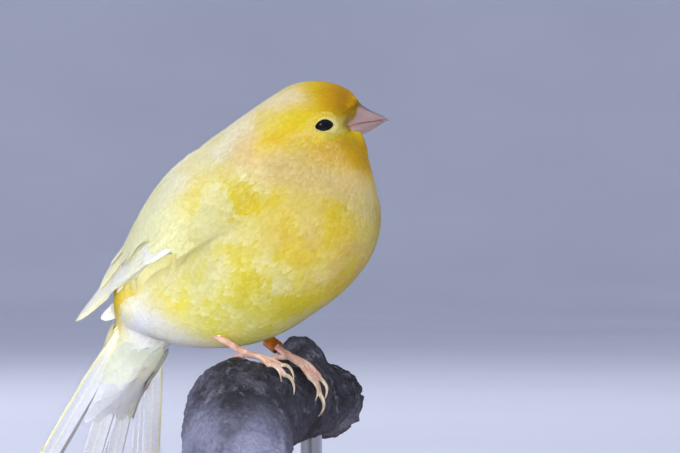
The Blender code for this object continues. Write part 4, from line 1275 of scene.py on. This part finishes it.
def make_eyes():
    eye = Look("eye_black", 0.04, Specular_IOR_Level=0.32)
    facing = eye.node("LayerWeight", Blend=0.35).outputs["Facing"]
    black = eye.finish(eye.ramp(facing, (0.0, linear(3, 3, 6)), (0.8, linear(9, 7, 9)), (1.0, linear(20, 16, 18))))
    lid = Look("eyelid", 0.55)
    grain = lid.noise(2600.0, 3.0)
    colour = lid.ramp(grain, (0.3, linear(206, 190, 96)), (0.7, linear(236, 224, 150)))
    skin = lid.finish(colour, grain, 0.4, 0.00008)
    phi = turns(72)
    corner = np.abs(np.cos(phi)) ** 5
    inner_x = (LID_LONG - 0.12 + 0.16 * corner) * np.cos(phi)
    inner_y = (LID_HIGH - 0.06) * np.sign(np.sin(phi)) * np.abs(np.sin(phi)) ** 1.12
    far = np.hypot(inner_x, inner_y)
    tris = grid_tris(len(LID_ROWS), len(phi), wrap=True)
    for side, (centre, outward, ahead, up) in EYES.items():
        work = bmesh.new()
        bmesh.ops.create_uvsphere(work, u_segments=64, v_segments=40, radius=EYE_RADIUS * MM)
        turn = Vector(outward).to_track_quat("Z", "Y").to_matrix().to_4x4()
        bmesh.ops.transform(work, matrix=Matrix.Translation(Vector(centre) * MM) @ turn, verts=work.verts)
        mesh = bpy.data.meshes.new(f"eye_ball_{side}")
        work.to_mesh(mesh)
        work.free()
        mesh.shade_smooth()
        ball = add_object(mesh, black)
        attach(ball, "root")
        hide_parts(f"eye_{side}")
        rows = []
        for widen, high in LID_ROWS:
            x = inner_x * (1.0 + widen / far)
            y = inner_y * (1.0 + widen / far)
            sphere = np.sqrt(np.maximum(EYE_RADIUS ** 2 - x * x - y * y, 0.0))
            level = np.maximum(sphere, EYE_RADIUS - EYE_SHOWS - 0.55) + high
            rows.append(centre + np.outer(x, ahead) + np.outer(y, up) + level[:, None] * outward)
        points = np.vstack(rows)
        tri_mesh(f"eyelids_{side}", points, tris_facing(points, tris, outward), skin)


def bill_half(name, rows, look, flare, upper):
    """One half of the bill: a smooth ridge above its cutting edges, with the flat side towards the mouth."""
    count, steps, flat = 28, 60, 8
    spots, places = [], []
    for ahead, mouth, ridge, half in rows_at(rows, np.linspace(0.0, len(rows) - 1.0, steps)):
        for k in range(count + 1):
            angle = math.pi * k / count
            wide = half * math.cos(angle) * (1.0 - flare * math.sin(angle) ** 2)
            spots.append(in_head(ahead, wide, mouth + (ridge - mouth) * math.sin(angle) ** 0.92))
            places.append((ahead, math.sin(angle)))
        for k in range(1, flat):
            f = 1.0 - 2.0 * k / flat
            spots.append(in_head(ahead, -f * half, mouth + (ridge - mouth) * 0.04 * (1.0 - f * f)))
            places.append((ahead, 0.0))
    ring = count + flat
    points = with_middles(np.array([tuple(p) for p in spots]), ring)
    tris = outward_faces(points, closed_tris(steps, ring))
    ahead, high = np.array(places + [places[0], places[-ring]]).T
    ridge_colour, warmth = (linear(118, 90, 96), 0.5) if upper else (linear(186, 156, 150), 1.0)
    tint = np.broadcast_to(linear(178, 150, 146), points.shape)
    tint = mix(tint, ridge_colour, ease(high, 0.72, 0.98) * 0.9)
    warm = (1.0 - ease(ahead, 12.6, 15.4)) * (1.0 - ease(high, 0.2, 0.8))
    tint = mix(tint, linear(226, 172, 140), warm * warmth)
    tint = mix(tint, linear(134, 106, 110), ease(ahead, 19.0, 23.5) * 0.55)
    return tri_mesh(name, points, tris, look, tint)


def make_bill():
    horn = Look("horn_bill", 0.38, Subsurface_Weight=0.15, Subsurface_Scale=0.001)
    streak = horn.noise(700.0, 5.0, 0.65, (0.35, 0.35, 1.6))
    lines = horn.ramp(streak, (0.3, (0.82, 0.8, 0.82)), (0.7, 1.0))
    look = horn.finish(horn.blend(horn.attribute("tint"), lines), streak, 0.25, 0.00012)
    upper = bill_half("bill_top", UPPER_BILL, look, 0.12, True)
    lower = bill_half("bill_bottom", LOWER_BILL, look, 0.05, False)
    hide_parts("bill_upper")
    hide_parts("bill_lower")
    # Painted shade: a thin dark piece inside the bill, seen through the slit between its halves as the dark gape
    dark = Look("mouth_line", 0.6)
    look = dark.finish(dark.ramp(dark.noise(1500.0), (0.3, linear(96, 68, 72)), (0.7, linear(128, 96, 98))))
    outline = ((-1.0, 0.0), (-0.5, 0.14), (0.5, 0.14), (1.0, 0.0), (0.5, -0.14), (-0.5, -0.14))
    points = np.array([
        tuple(in_head(ahead, w * (half - 0.34), mouth - 0.08 + h))
        for ahead, mouth, ridge, half in rows_at(UPPER_BILL, np.linspace(0.0, 6.6, 30)) for w, h in outline
    ])
    tris = [grid_tris(30, 6, wrap=True), np.array([(0, k + 1, k) for k in range(1, 5)])]
    tris.append(29 * 6 + np.array([(0, k, k + 1) for k in range(1, 5)]))
    tri_mesh("mouth_line", points, outward_faces(points, np.concatenate(tris)), look)


def spikes(name, roots, tips, sides, tint, look):
    """Fine bristles, each a thin closed spike from its root to its tip."""
    onward = unit(tips - roots)
    across = unit(np.cross(onward, sides)) * BRISTLE_HALF
    up = np.cross(across, onward)
    points = np.stack((roots + across, roots - across, roots + up, tips), 1).reshape(-1, 3)
    faces = np.array(((0, 1, 2), (0, 3, 1), (1, 3, 2), (2, 3, 0)))
    tris = (4 * np.arange(len(roots))[:, None, None] + faces[None]).reshape(-1, 3)
    level = roots[:, 1:] - roots[:, 1:].mean(0)
    uv = (0.5 + 0.45 * level / np.ptp(roots[:, 1:], axis=0))[:, None]
    uv = uv + np.array(((-0.001, 0.0), (0.001, 0.0), (0.0, 0.001), (0.0, 0.003)))[None]
    strand = np.zeros(len(points))
    tri_mesh(name, points, tris, look, np.repeat(tint, 4, 0), strand, uv.reshape(-1, 2))


def bill_reach(ahead, rise):
    """How far the bill's side lies from its axis, towards a direction whose rise is a sine."""
    half = float(np.interp(ahead, (12.4, 13.6, 15.2, 17.0, 19.0), (4.9, 4.55, 3.85, 3.2, 2.5)))
    reaches = (6.4, 5.6, 4.6, 3.2) if rise > 0.0 else (3.4, 3.3, 2.9, 2.3)
    high = float(np.interp(ahead, (12.4, 15.2, 17.0, 19.0), reaches))
    return 1.0 / math.sqrt((1.0 - rise * rise) / half ** 2 + (rise / high) ** 2)


def make_nasal_tufts(look):
    """Bristles that lie forward from the face over the root of the bill and its nostrils, and along the gape."""
    face = body_tree(9.5, 13.0, 60)
    rng = np.random.default_rng(91)
    rows = []
    for k in range(5200):
        angle = rng.uniform(-0.46, 1.46) * math.pi
        rise = math.sin(angle)
        line = 13.0 + 3.1 * max(rise, 0.0) ** 0.55 + 1.7 * max(-rise, 0.0) ** 0.8
        tip_ahead = line + rng.normal(0.0, 0.3) - rng.uniform(0.0, 1.4)
        ahead = tip_ahead - rng.uniform(0.8, 2.0)
        outward = in_head(0.0, math.cos(angle), 0.0) - in_head(0.0, 0.0, 0.0) + Vector((0.0, 0.0, rise))
        spots = []
        for where, gap in ((ahead, 0.02), (tip_ahead, rng.uniform(0.06, 0.3))):
            axis = in_head(where, 0.0, 118.1)
            hit, normal, index, reach = face.ray_cast(axis, outward)
            reach = max(bill_reach(where, rise), reach if hit is not None and reach < 9.0 else 0.0)
            spots.append(np.array(axis + outward * (reach + gap)))
        spots[1] = spots[1] + rng.normal(0.0, 0.1, 3)
        gold = DEEP_GOLD + (GOLD - DEEP_GOLD) * rng.uniform(0.0, 1.0)
        gold = gold + (LORE - gold) * (1.0 - ease(abs(rise), 0.15, 0.6)) * rng.uniform(0.3, 0.9)
        rows.append((*spots, np.array(outward), gold * rng.uniform(0.95, 1.4)))
    roots, tips, sides, tints = (np.array(values) for values in zip(*rows))
    spikes("nasal_bristles", roots, tips, unit(sides), tints, look)


# Legs

PERCH_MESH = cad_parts["perch"].data
PERCH_TREE = tree_from([np.array(v.co) / MM for v in PERCH_MESH.vertices], [f.vertices for f in PERCH_MESH.polygons])


def branch_row(y):
    places = rows_at(BRANCH, np.linspace(0.0, 5.6, 281))
    return places[int(np.argmin(np.abs(places[:, 1] - y)))]


def on_branch(y, angle, height):
    """A place over the branch's outline, at an angle from straight up towards the front."""
    row = branch_row(y)
    outward = Vector((math.sin(angle), 0.0, math.cos(angle)))
    skin, normal, index, reach = PERCH_TREE.ray_cast(Vector((row[0], y, row[2])), outward)
    return np.array(skin + outward * height)


def smooth_path(places, steps):
    """A smooth line through the places, and its length."""
    path = rows_at(places, np.linspace(0.0, len(places) - 1.0, steps))
    return path, float(np.linalg.norm(np.diff(path, axis=0), axis=1).sum())


def tube(name, path, radius_of, look, sides, up):
    """A closed tube along a path, whose radius depends on the distance along it and the angle round it."""
    steps = np.concatenate(([0.0], np.cumsum(np.linalg.norm(np.diff(path, axis=0), axis=1))))
    onward = unit(np.gradient(path, axis=0))
    side = unit(np.cross(onward, np.array(up)))
    lift = np.cross(side, onward)
    angle = turns(sides)
    radius = radius_of(steps[:, None], angle[None, :])
    points = path[:, None] + side[:, None] * (radius * np.sin(angle))[..., None]
    points = (points + lift[:, None] * (radius * np.cos(angle))[..., None]).reshape(-1, 3)
    points = np.vstack((points, path[0], path[-1]))
    return tri_mesh(name, points, outward_faces(points, closed_tris(len(path), sides)), look)


def toe_radius(total):
    """Radius of a scaled toe of a length: overlapping plates in front, pads behind."""
    def radius_of(along, angle):
        base = np.interp(along, (0.0, total * 0.5, total), (1.15, 0.975, 0.8)) * TOE_RADIUS
        plate = 0.09 * ((along / 0.85) % 1.0) ** 0.6 * ease(np.cos(angle), -0.1, 0.5)
        pad = 0.05 * np.sin(FULL_TURN * along / 2.04) * ease(-np.cos(angle), 0.2, 0.9)
        taper = np.sqrt(np.clip((total - along) / 0.6, 0.0, 1.0))
        return (base + plate + pad) * np.maximum(taper, 0.25)
    return radius_of


def claw_radius(total):
    def radius_of(along, angle):
        return (0.56 * (1.0 - along / total) ** 0.75 + 0.05) * (1.0 - 0.12 * np.cos(2.0 * angle))
    return radius_of


def shank_radius(total):
    def radius_of(along, angle):
        base = np.interp(along, (0.0, total * 0.3, total * 0.85, total), (1.2, 0.9, 0.82, 1.15))
        saw = (along / 1.35) % 1.0
        return base + 0.09 * saw ** 0.6 * ease(np.cos(angle), -0.2, 0.4) - 0.03 * np.cos(2.0 * angle)
    return radius_of


def make_leg(side, leg, skin, claw_look):
    y = leg["foot_y"]
    out = -1.0 if side == "right" else 1.0
    centre = branch_row(y)
    start = math.asin((leg["joint_x"] - centre[0]) / (centre[3] + 1.0))
    joint = on_branch(y, start, TOE_RADIUS + GAP + 0.45)
    knee = np.array(leg["knee"])
    above = knee + (knee - joint) * 0.12
    radius = shank_radius(float(np.linalg.norm(joint - above)))
    shank = np.linspace(above, joint, 90)
    pieces = [tube(f"shank_{side}", shank, radius, skin, 22, (1.0, 0.0, 0.3))]
    reach = centre[3] + TOE_RADIUS + GAP
    for toe, arc, spread in TOES:
        way = 1.0 if arc > 0.0 else -1.0
        route, hook = [joint], []
        for k in range(8):
            f = k / 7.0
            if k:
                aside = y + out * spread * f ** 0.8
                route.append(on_branch(aside, start + arc * f / reach, TOE_RADIUS + GAP + 0.02))
            angle = start + (arc - way * 0.5 + way * CLAW_LENGTH * f * 1.08) / reach
            height = TOE_RADIUS * 0.75 + GAP + 0.2 + 1.35 * math.sin(math.pi * f) ** 0.9 - 0.45 * f
            hook.append(on_branch(y + out * spread, angle, height))
        path, length = smooth_path(np.array(route), 70)
        up = unit(path[35] - np.array((centre[0], path[35][1], centre[2])))
        pieces.append(tube(f"toe_{side}_{toe}", path, toe_radius(length), skin, 18, up))
        path, length = smooth_path(np.array(hook), 36)
        nail = tube(f"nail_{side}_{toe}", path, claw_radius(length), claw_look, 14, up)
        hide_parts(f"claw_{side}_{toe}")
    for piece in pieces:
        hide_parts(f"leg_{side}")
    return knee, joint


def make_band(knee, joint):
    """The amber ring: rounded edges, thicker than a sheet, with a faint seam down one side."""
    amber = Look("band_amber", 0.16, Coat_Weight=0.4, Coat_Roughness=0.08)
    grain = amber.noise(420.0, 5.0, 0.6, (1.0, 1.0, 0.3))
    colour = amber.ramp(grain, (0.25, linear(80, 34, 2)), (0.5, linear(132, 66, 5)), (0.8, linear(186, 112, 20)))
    look = amber.finish(colour, grain, 0.2, 0.0001)
    start = knee + (joint - knee) * 0.5
    turn = np.array(Vector(joint - knee).to_track_quat("Z", "Y").to_matrix())
    inner, outer, tall, soft = 1.45, 1.9, 2.0, 0.16
    profile = []
    for quarter, middle_r, middle_h in (
        (0, outer - soft, tall - soft), (1, inner + soft, tall - soft),
        (2, inner + soft, soft - tall), (3, outer - soft, soft - tall),
    ):
        for k in range(6):
            angle = math.radians(90.0 * quarter + 18.0 * k)
            profile.append((middle_r + soft * math.cos(angle), middle_h + soft * math.sin(angle)))
    points = []
    for k, angle in enumerate(turns(96)):
        groove = 0.05 * math.exp(-((k - 70) / 1.2) ** 2)
        for r, h in profile:
            r = r - groove if r > 1.7 else r
            points.append(start + turn @ np.array((r * math.cos(angle), r * math.sin(angle), h)))
    points = np.array(points)
    tris = outward_faces(points, turned_tris(96, len(profile)))
    made = tri_mesh("band_ring", points, tris, look)
    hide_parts("leg_band")


def make_legs():
    scales = Look("leg_scales", 0.5, Subsurface_Weight=0.12, Subsurface_Scale=0.001)
    fine = scales.noise(2200.0, 3.0)
    colour = scales.ramp(
        scales.noise(320.0, 5.0),
        (0.3, linear(190, 140, 124)), (0.5, linear(218, 174, 156)), (0.72, linear(236, 208, 192)),
    )
    spots = scales.ramp(fine, (0.35, (0.8, 0.78, 0.78)), (0.65, 1.0))
    skin = scales.finish(scales.blend(colour, spots), fine, 0.3, 0.0001)
    horn = Look("claw_horn", 0.32)
    streak = horn.noise(900.0, 4.0, 0.6, (1.0, 1.0, 0.3))
    colour = horn.ramp(streak, (0.3, linear(172, 150, 124)), (0.7, linear(226, 210, 184)))
    claw = horn.finish(colour, streak, 0.2, 0.0001)
    make_leg("right", LEG_RIGHT, skin, claw)
    make_band(*make_leg("left", LEG_LEFT, skin, claw))


# Perch and stand

def bark_look():
    """Dark bark with cracks and pale flecks, paler low down and at its near end."""
    bark = Look("bark", 0.85)
    where = bark.where()
    fine = bark.noise(620.0, 6.0, 0.7)
    colour = bark.ramp(
        bark.noise(42.0, 7.0, 0.66), (0.3, linear(22, 21, 25)), (0.42, linear(38, 37, 44)),
        (0.53, linear(76, 76, 89)), (0.66, linear(134, 134, 154)),
    )
    spots = bark.ramp(fine, (0.3, (0.34, 0.33, 0.34)), (0.7, 1.1))
    cells = bark.node("TexVoronoi", Scale=260.0, Vector=where).outputs["Distance"]
    cracks = bark.ramp(cells, (0.0, 1.0), (0.5, (0.86, 0.85, 0.86)))
    parts = bark.node("SeparateXYZ", Vector=where)
    ends = []
    # Paler lavender grey low down and towards the near end, in uneven patches
    for axis, low, high, first, last in (("Z", 0.034, 0.047, 0.9, 0.0), ("Y", -0.031, -0.014, 1.0, 0.22)):
        spread = bark.node("MapRange", Value=parts.outputs[axis], From_Min=low, From_Max=high)
        ends.append(bark.ramp(spread.outputs["Result"], (0.0, first), (1.0, last)))
    uneven = bark.ramp(bark.noise(75.0, 5.0, 0.6), (0.36, 0.3), (0.56, 1.0))
    pale_low_near = bark.blend(*ends, uneven)
    mixed = bark.blend(bark.blend(colour, spots, cracks), linear(160, 162, 190), amount=pale_low_near, kind="MIX")
    mixed = bark.blend(mixed, spots, amount=0.6)
    flecks = bark.ramp(bark.noise(210.0, 4.0, 0.7), (0.56, 0.0), (0.68, 0.55))
    return bark.finish(bark.blend(mixed, linear(150, 150, 168), amount=flecks, kind="MIX"), fine, 1.0, 0.0016)


def make_perch():
    wood = Look("cut_wood", 0.7)
    stain = wood.noise(120.0, 4.0, 0.6)
    colour = wood.blend(wood.attribute("tint"), wood.ramp(stain, (0.3, (0.72, 0.7, 0.66)), (0.7, 1.0)))
    cut_look = wood.finish(colour, stain, 0.3, 0.0003)
    rings, sides = 370, 240
    last = len(BRANCH) - 1.0
    t, angle = flat_grid(np.linspace(0.0, last, rings), turns(sides))
    row = rows_at(BRANCH, t)
    ahead = unit((rows_at(BRANCH, np.minimum(t + 0.02, last)) - rows_at(BRANCH, np.maximum(t - 0.02, 0.0)))[:, :3])
    side = unit(np.cross(ahead, UP))
    up = np.cross(side, ahead)
    outward = side * np.sin(angle)[:, None] + up * np.cos(angle)[:, None]
    reach = row[:, 3] * (1.0 + 0.025 * np.sin(3.0 * angle + 1.7 * t) + 0.02 * np.sin(2.0 * t + angle))
    places = row[:, :3] + outward * reach[:, None]
    off = np.linalg.norm((places - KNOB)[:, :2], axis=1)
    bulge = np.exp(-np.maximum(off - 1.0, 0.0) ** 2 / 26.0) * ease(up @ UP * np.cos(angle), 0.1, 0.8)
    grain = unit(np.array((0.25, -1.0, -0.1)))
    long = np.stack((places @ grain * 0.35, places[:, 0], places[:, 2]), -1)
    rough = 0.95 * (noise(long, 3.2, 11) - 0.62) + 0.6 * (noise(long, 1.3, 12) - 0.62)
    rough = rough + 0.9 * (noise(places, 9.0, 13) - 0.75)
    rough = rough + 0.42 * (noise(long, 0.75, 15) - 0.6) + 0.3 * (noise(places, 0.9, 16) - 0.6)
    crease = -0.9 * ease(noise(long, 2.3, 14), 0.66, 0.86)
    places = places + outward * (rough + crease - 0.12 + 6.2 * bulge)[:, None]
    tris = outward_faces(places, grid_tris(rings, sides, wrap=True))
    cap_points, cap_tris, cap_tints = [], [], []
    count = 30
    inner = np.arange((count - 1) * sides, count * sides)
    fan = np.stack((inner, np.roll(inner, -1), np.full(sides, count * sides)), -1)
    faces = np.concatenate((grid_tris(count, sides, wrap=True), fan))
    for end, (first, way) in enumerate(((0, -1.0), ((rings - 1) * sides, 1.0))):
        onward = ahead[first] * way
        ring = places[first:first + sides]
        middle = ring.mean(0)
        cap, tints = [ring], [np.broadcast_to(CUT_RIM, (sides, 3))]
        for k in range(1, count):
            share = 1.0 - k / (count + 1.0)
            cap.append(middle + (ring - middle) * share + onward * (0.07 * math.sin(k * 2.1)))
            growth = CUT_WOOD * (0.78 + 0.22 * math.sin(k * 2.1) + 0.1 * math.sin(k * 0.9))
            tints.append(np.broadcast_to(CUT_RIM if k < 2 else growth, (sides, 3)))
        cap = np.vstack(cap + [middle[None] + onward * 0.05])
        cap_points.append(cap)
        cap_tints += tints + [CUT_HEART[None]]
        cap_tris.append(tris_facing(cap, faces, onward) + end * len(cap))
    trunk = tri_mesh("perch_bark", places, tris, bark_look())
    ends = tri_mesh(
        "perch_cut_ends", np.vstack(cap_points), np.concatenate(cap_tris), cut_look, np.vstack(cap_tints),
    )
    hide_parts("perch")
    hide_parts("perch")


def bevel(work, edges, offset, segments, profile):
    bmesh.ops.bevel(work, geom=edges, offset=offset, segments=segments, affect="EDGES", profile=profile)


def make_stand():
    wood = Look("board_wood", 0.42, Coat_Weight=0.25, Coat_Roughness=0.25)
    pores = wood.noise(420.0, 4.0, 0.6, (0.08, 2.0, 2.0))
    grain = wood.noise(34.0, 8.0, 0.62, (0.18, 2.6, 2.6))
    colour = wood.ramp(grain, (0.3, linear(120, 82, 50)), (0.5, linear(164, 120, 78)), (0.7, linear(192, 148, 102)))
    dark = wood.ramp(pores, (0.35, (0.72, 0.68, 0.64)), (0.6, 1.0))
    low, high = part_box("stand_base")
    work = bmesh.new()
    bmesh.ops.create_cube(work, size=1.0)
    bmesh.ops.scale(work, verts=work.verts, vec=high - low)
    bmesh.ops.translate(work, verts=work.verts, vec=(high + low) / 2.0)
    bevel(work, [e for e in work.edges if abs(e.verts[0].co.z - e.verts[1].co.z) > 0.004], 0.008, 12, 0.5)
    for level, offset, segments, profile in ((high.z, 0.0022, 6, 0.6), (low.z, 0.0006, 2, 0.5)):
        rim = [e for e in work.edges if all(abs(v.co.z - level) < 1e-6 for v in e.verts)]
        bevel(work, rim, offset, segments, profile)
    mesh = bpy.data.meshes.new("base_board")
    work.to_mesh(mesh)
    work.free()
    mesh.shade_smooth()
    mesh.set_sharp_from_angle(angle=math.radians(35.0))
    board = add_object(mesh, wood.finish(wood.blend(colour, dark), pores, 0.15, 0.0002))
    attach(board, "root")
    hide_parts("stand_base")
    steel = Look("rod_steel", 0.32, Metallic=1.0)
    brush = steel.noise(900.0, 3.0, 0.6, (1.0, 1.0, 0.04))
    colour = steel.ramp(brush, (0.3, linear(178, 178, 182)), (0.7, linear(214, 214, 216)))
    look = steel.finish(colour, brush, 0.12, 0.0001)
    for name in ("stand_rod_middle", "stand_rod_far"):
        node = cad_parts[name]
        node.data.materials.clear()
        node.data.materials.append(look)
        low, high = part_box(name)
        x, y, z = np.array((low + high) / 2.0) / MM
        points = np.array([
            (x + r * math.cos(angle), y + r * math.sin(angle), BASE_THICK + h)
            for angle in turns(64) for r, h in COLLAR_PROFILE
        ])
        tris = outward_faces(points, turned_tris(64, len(COLLAR_PROFILE)))
        tri_mesh(f"collar_{name}", points, tris, look)


# Stage, camera and lights

def make_stage():
    floor = Look("studio_floor", 0.8)
    look = floor.finish(floor.ramp(floor.noise(3.0, 2.0), (0.3, linear(208, 211, 226)), (0.7, linear(215, 218, 232))))
    flat, bend, top = 2900.0, 1400.0, 6200.0
    profile = [(0.0, 0.0), (flat, 0.0)]
    for k in range(1, 17):
        angle = math.radians(90.0 * k / 16.0)
        profile.append((flat + bend * math.sin(angle), bend * (1.0 - math.cos(angle))))
    profile += [(flat + bend, 3200.0), (flat + bend, top)]
    sides = 96
    points = [
        tuple(c * MM for c in (r * math.cos(angle), r * math.sin(angle), h - 0.02))
        for r, h in profile for angle in turns(sides)
    ]
    tris = grid_tris(len(profile), sides, wrap=True)[sides:]
    bowl = bpy.data.meshes.new("studio_bowl")
    bowl.from_pydata(points, [], [tuple(int(i) for i in f) for f in tris])
    bowl.shade_smooth()
    stage = add_object(bowl, look)


def area_light(name, place, target, size, power, colour=(1.0, 1.0, 1.0), spread=180.0):
    light = bpy.data.lights.new(name, "AREA")
    light.shape = "DISK"
    light.size = size
    light.energy = power
    light.color = colour
    light.spread = math.radians(spread)
    made = bpy.data.objects.new(name, light)
    made.location = place
    made.rotation_euler = (target - place).to_track_quat("-Z", "Y").to_euler()
    made.visible_glossy = name == "glint"
    made.visible_diffuse = name != "glint"
    bpy.context.scene.collection.objects.link(made)


def make_camera_and_lights():
    azimuth = math.radians(39.0)
    right = Vector((math.cos(azimuth), math.sin(azimuth), 0.0))
    ahead = Vector((-math.sin(azimuth), math.cos(azimuth), 0.0))
    up = Vector((0.0, 0.0, 1.0))
    camera = bpy.data.cameras.new("camera")
    camera.lens = 200.0
    camera.sensor_width = 36.0
    camera.clip_start = 0.05
    camera.clip_end = 20.0
    made = bpy.data.objects.new("camera", camera)
    made.location = right * 0.01755 - ahead * 1.02 + up * 0.0905
    made.rotation_euler = ahead.to_track_quat("-Z", "Y").to_euler()
    bpy.context.scene.collection.objects.link(made)
    bpy.context.scene.camera = made
    middle = Vector((0.0, 0.0, 0.09))
    tail = Vector((-0.06, 0.0, 0.036))
    for name, (aside, onward, high), target, *rest in (
        ("key", (-0.75, -0.75, 0.95), middle, 1.4, 7.6, (1.0, 0.99, 0.97)),
        ("fill", (0.4, -1.3, 0.1), middle, 1.4, 5.3, (1.0, 0.98, 0.95)),
        ("low", (0.05, -1.0, -0.05), tail, 0.14, 0.11, (0.92, 0.96, 1.0), 12.0),
        ("back", (-0.35, 0.9, 0.9), middle, 1.0, 7.0),
        ("glint", (-0.5, -0.8, 0.5), middle + up * 0.03, 0.3, 2.2),
    ):
        area_light(name, middle + right * aside + ahead * onward + up * high, target, *rest)
    world = bpy.data.worlds.new("studio")
    world.use_nodes = True
    world.node_tree.nodes["Background"].inputs["Color"].default_value = (0.9, 0.93, 1.0, 1.0)
    world.node_tree.nodes["Background"].inputs["Strength"].default_value = 0.9
    bpy.context.scene.world = world
    bpy.context.scene.view_settings.view_transform = "Standard"


make_camera_and_lights()
make_stage()
PLUMAGE = feather_material("plumage", 0.85, 0.42, 0.2)
QUILLS = feather_material("quill_vanes", 0.65, 0.55, 0.4)
make_skin(PLUMAGE)
make_coat(PLUMAGE)
make_wings(QUILLS)
make_tail(QUILLS)
make_eyes()
make_bill()
make_nasal_tufts(PLUMAGE)
make_legs()
make_perch()
make_stand()
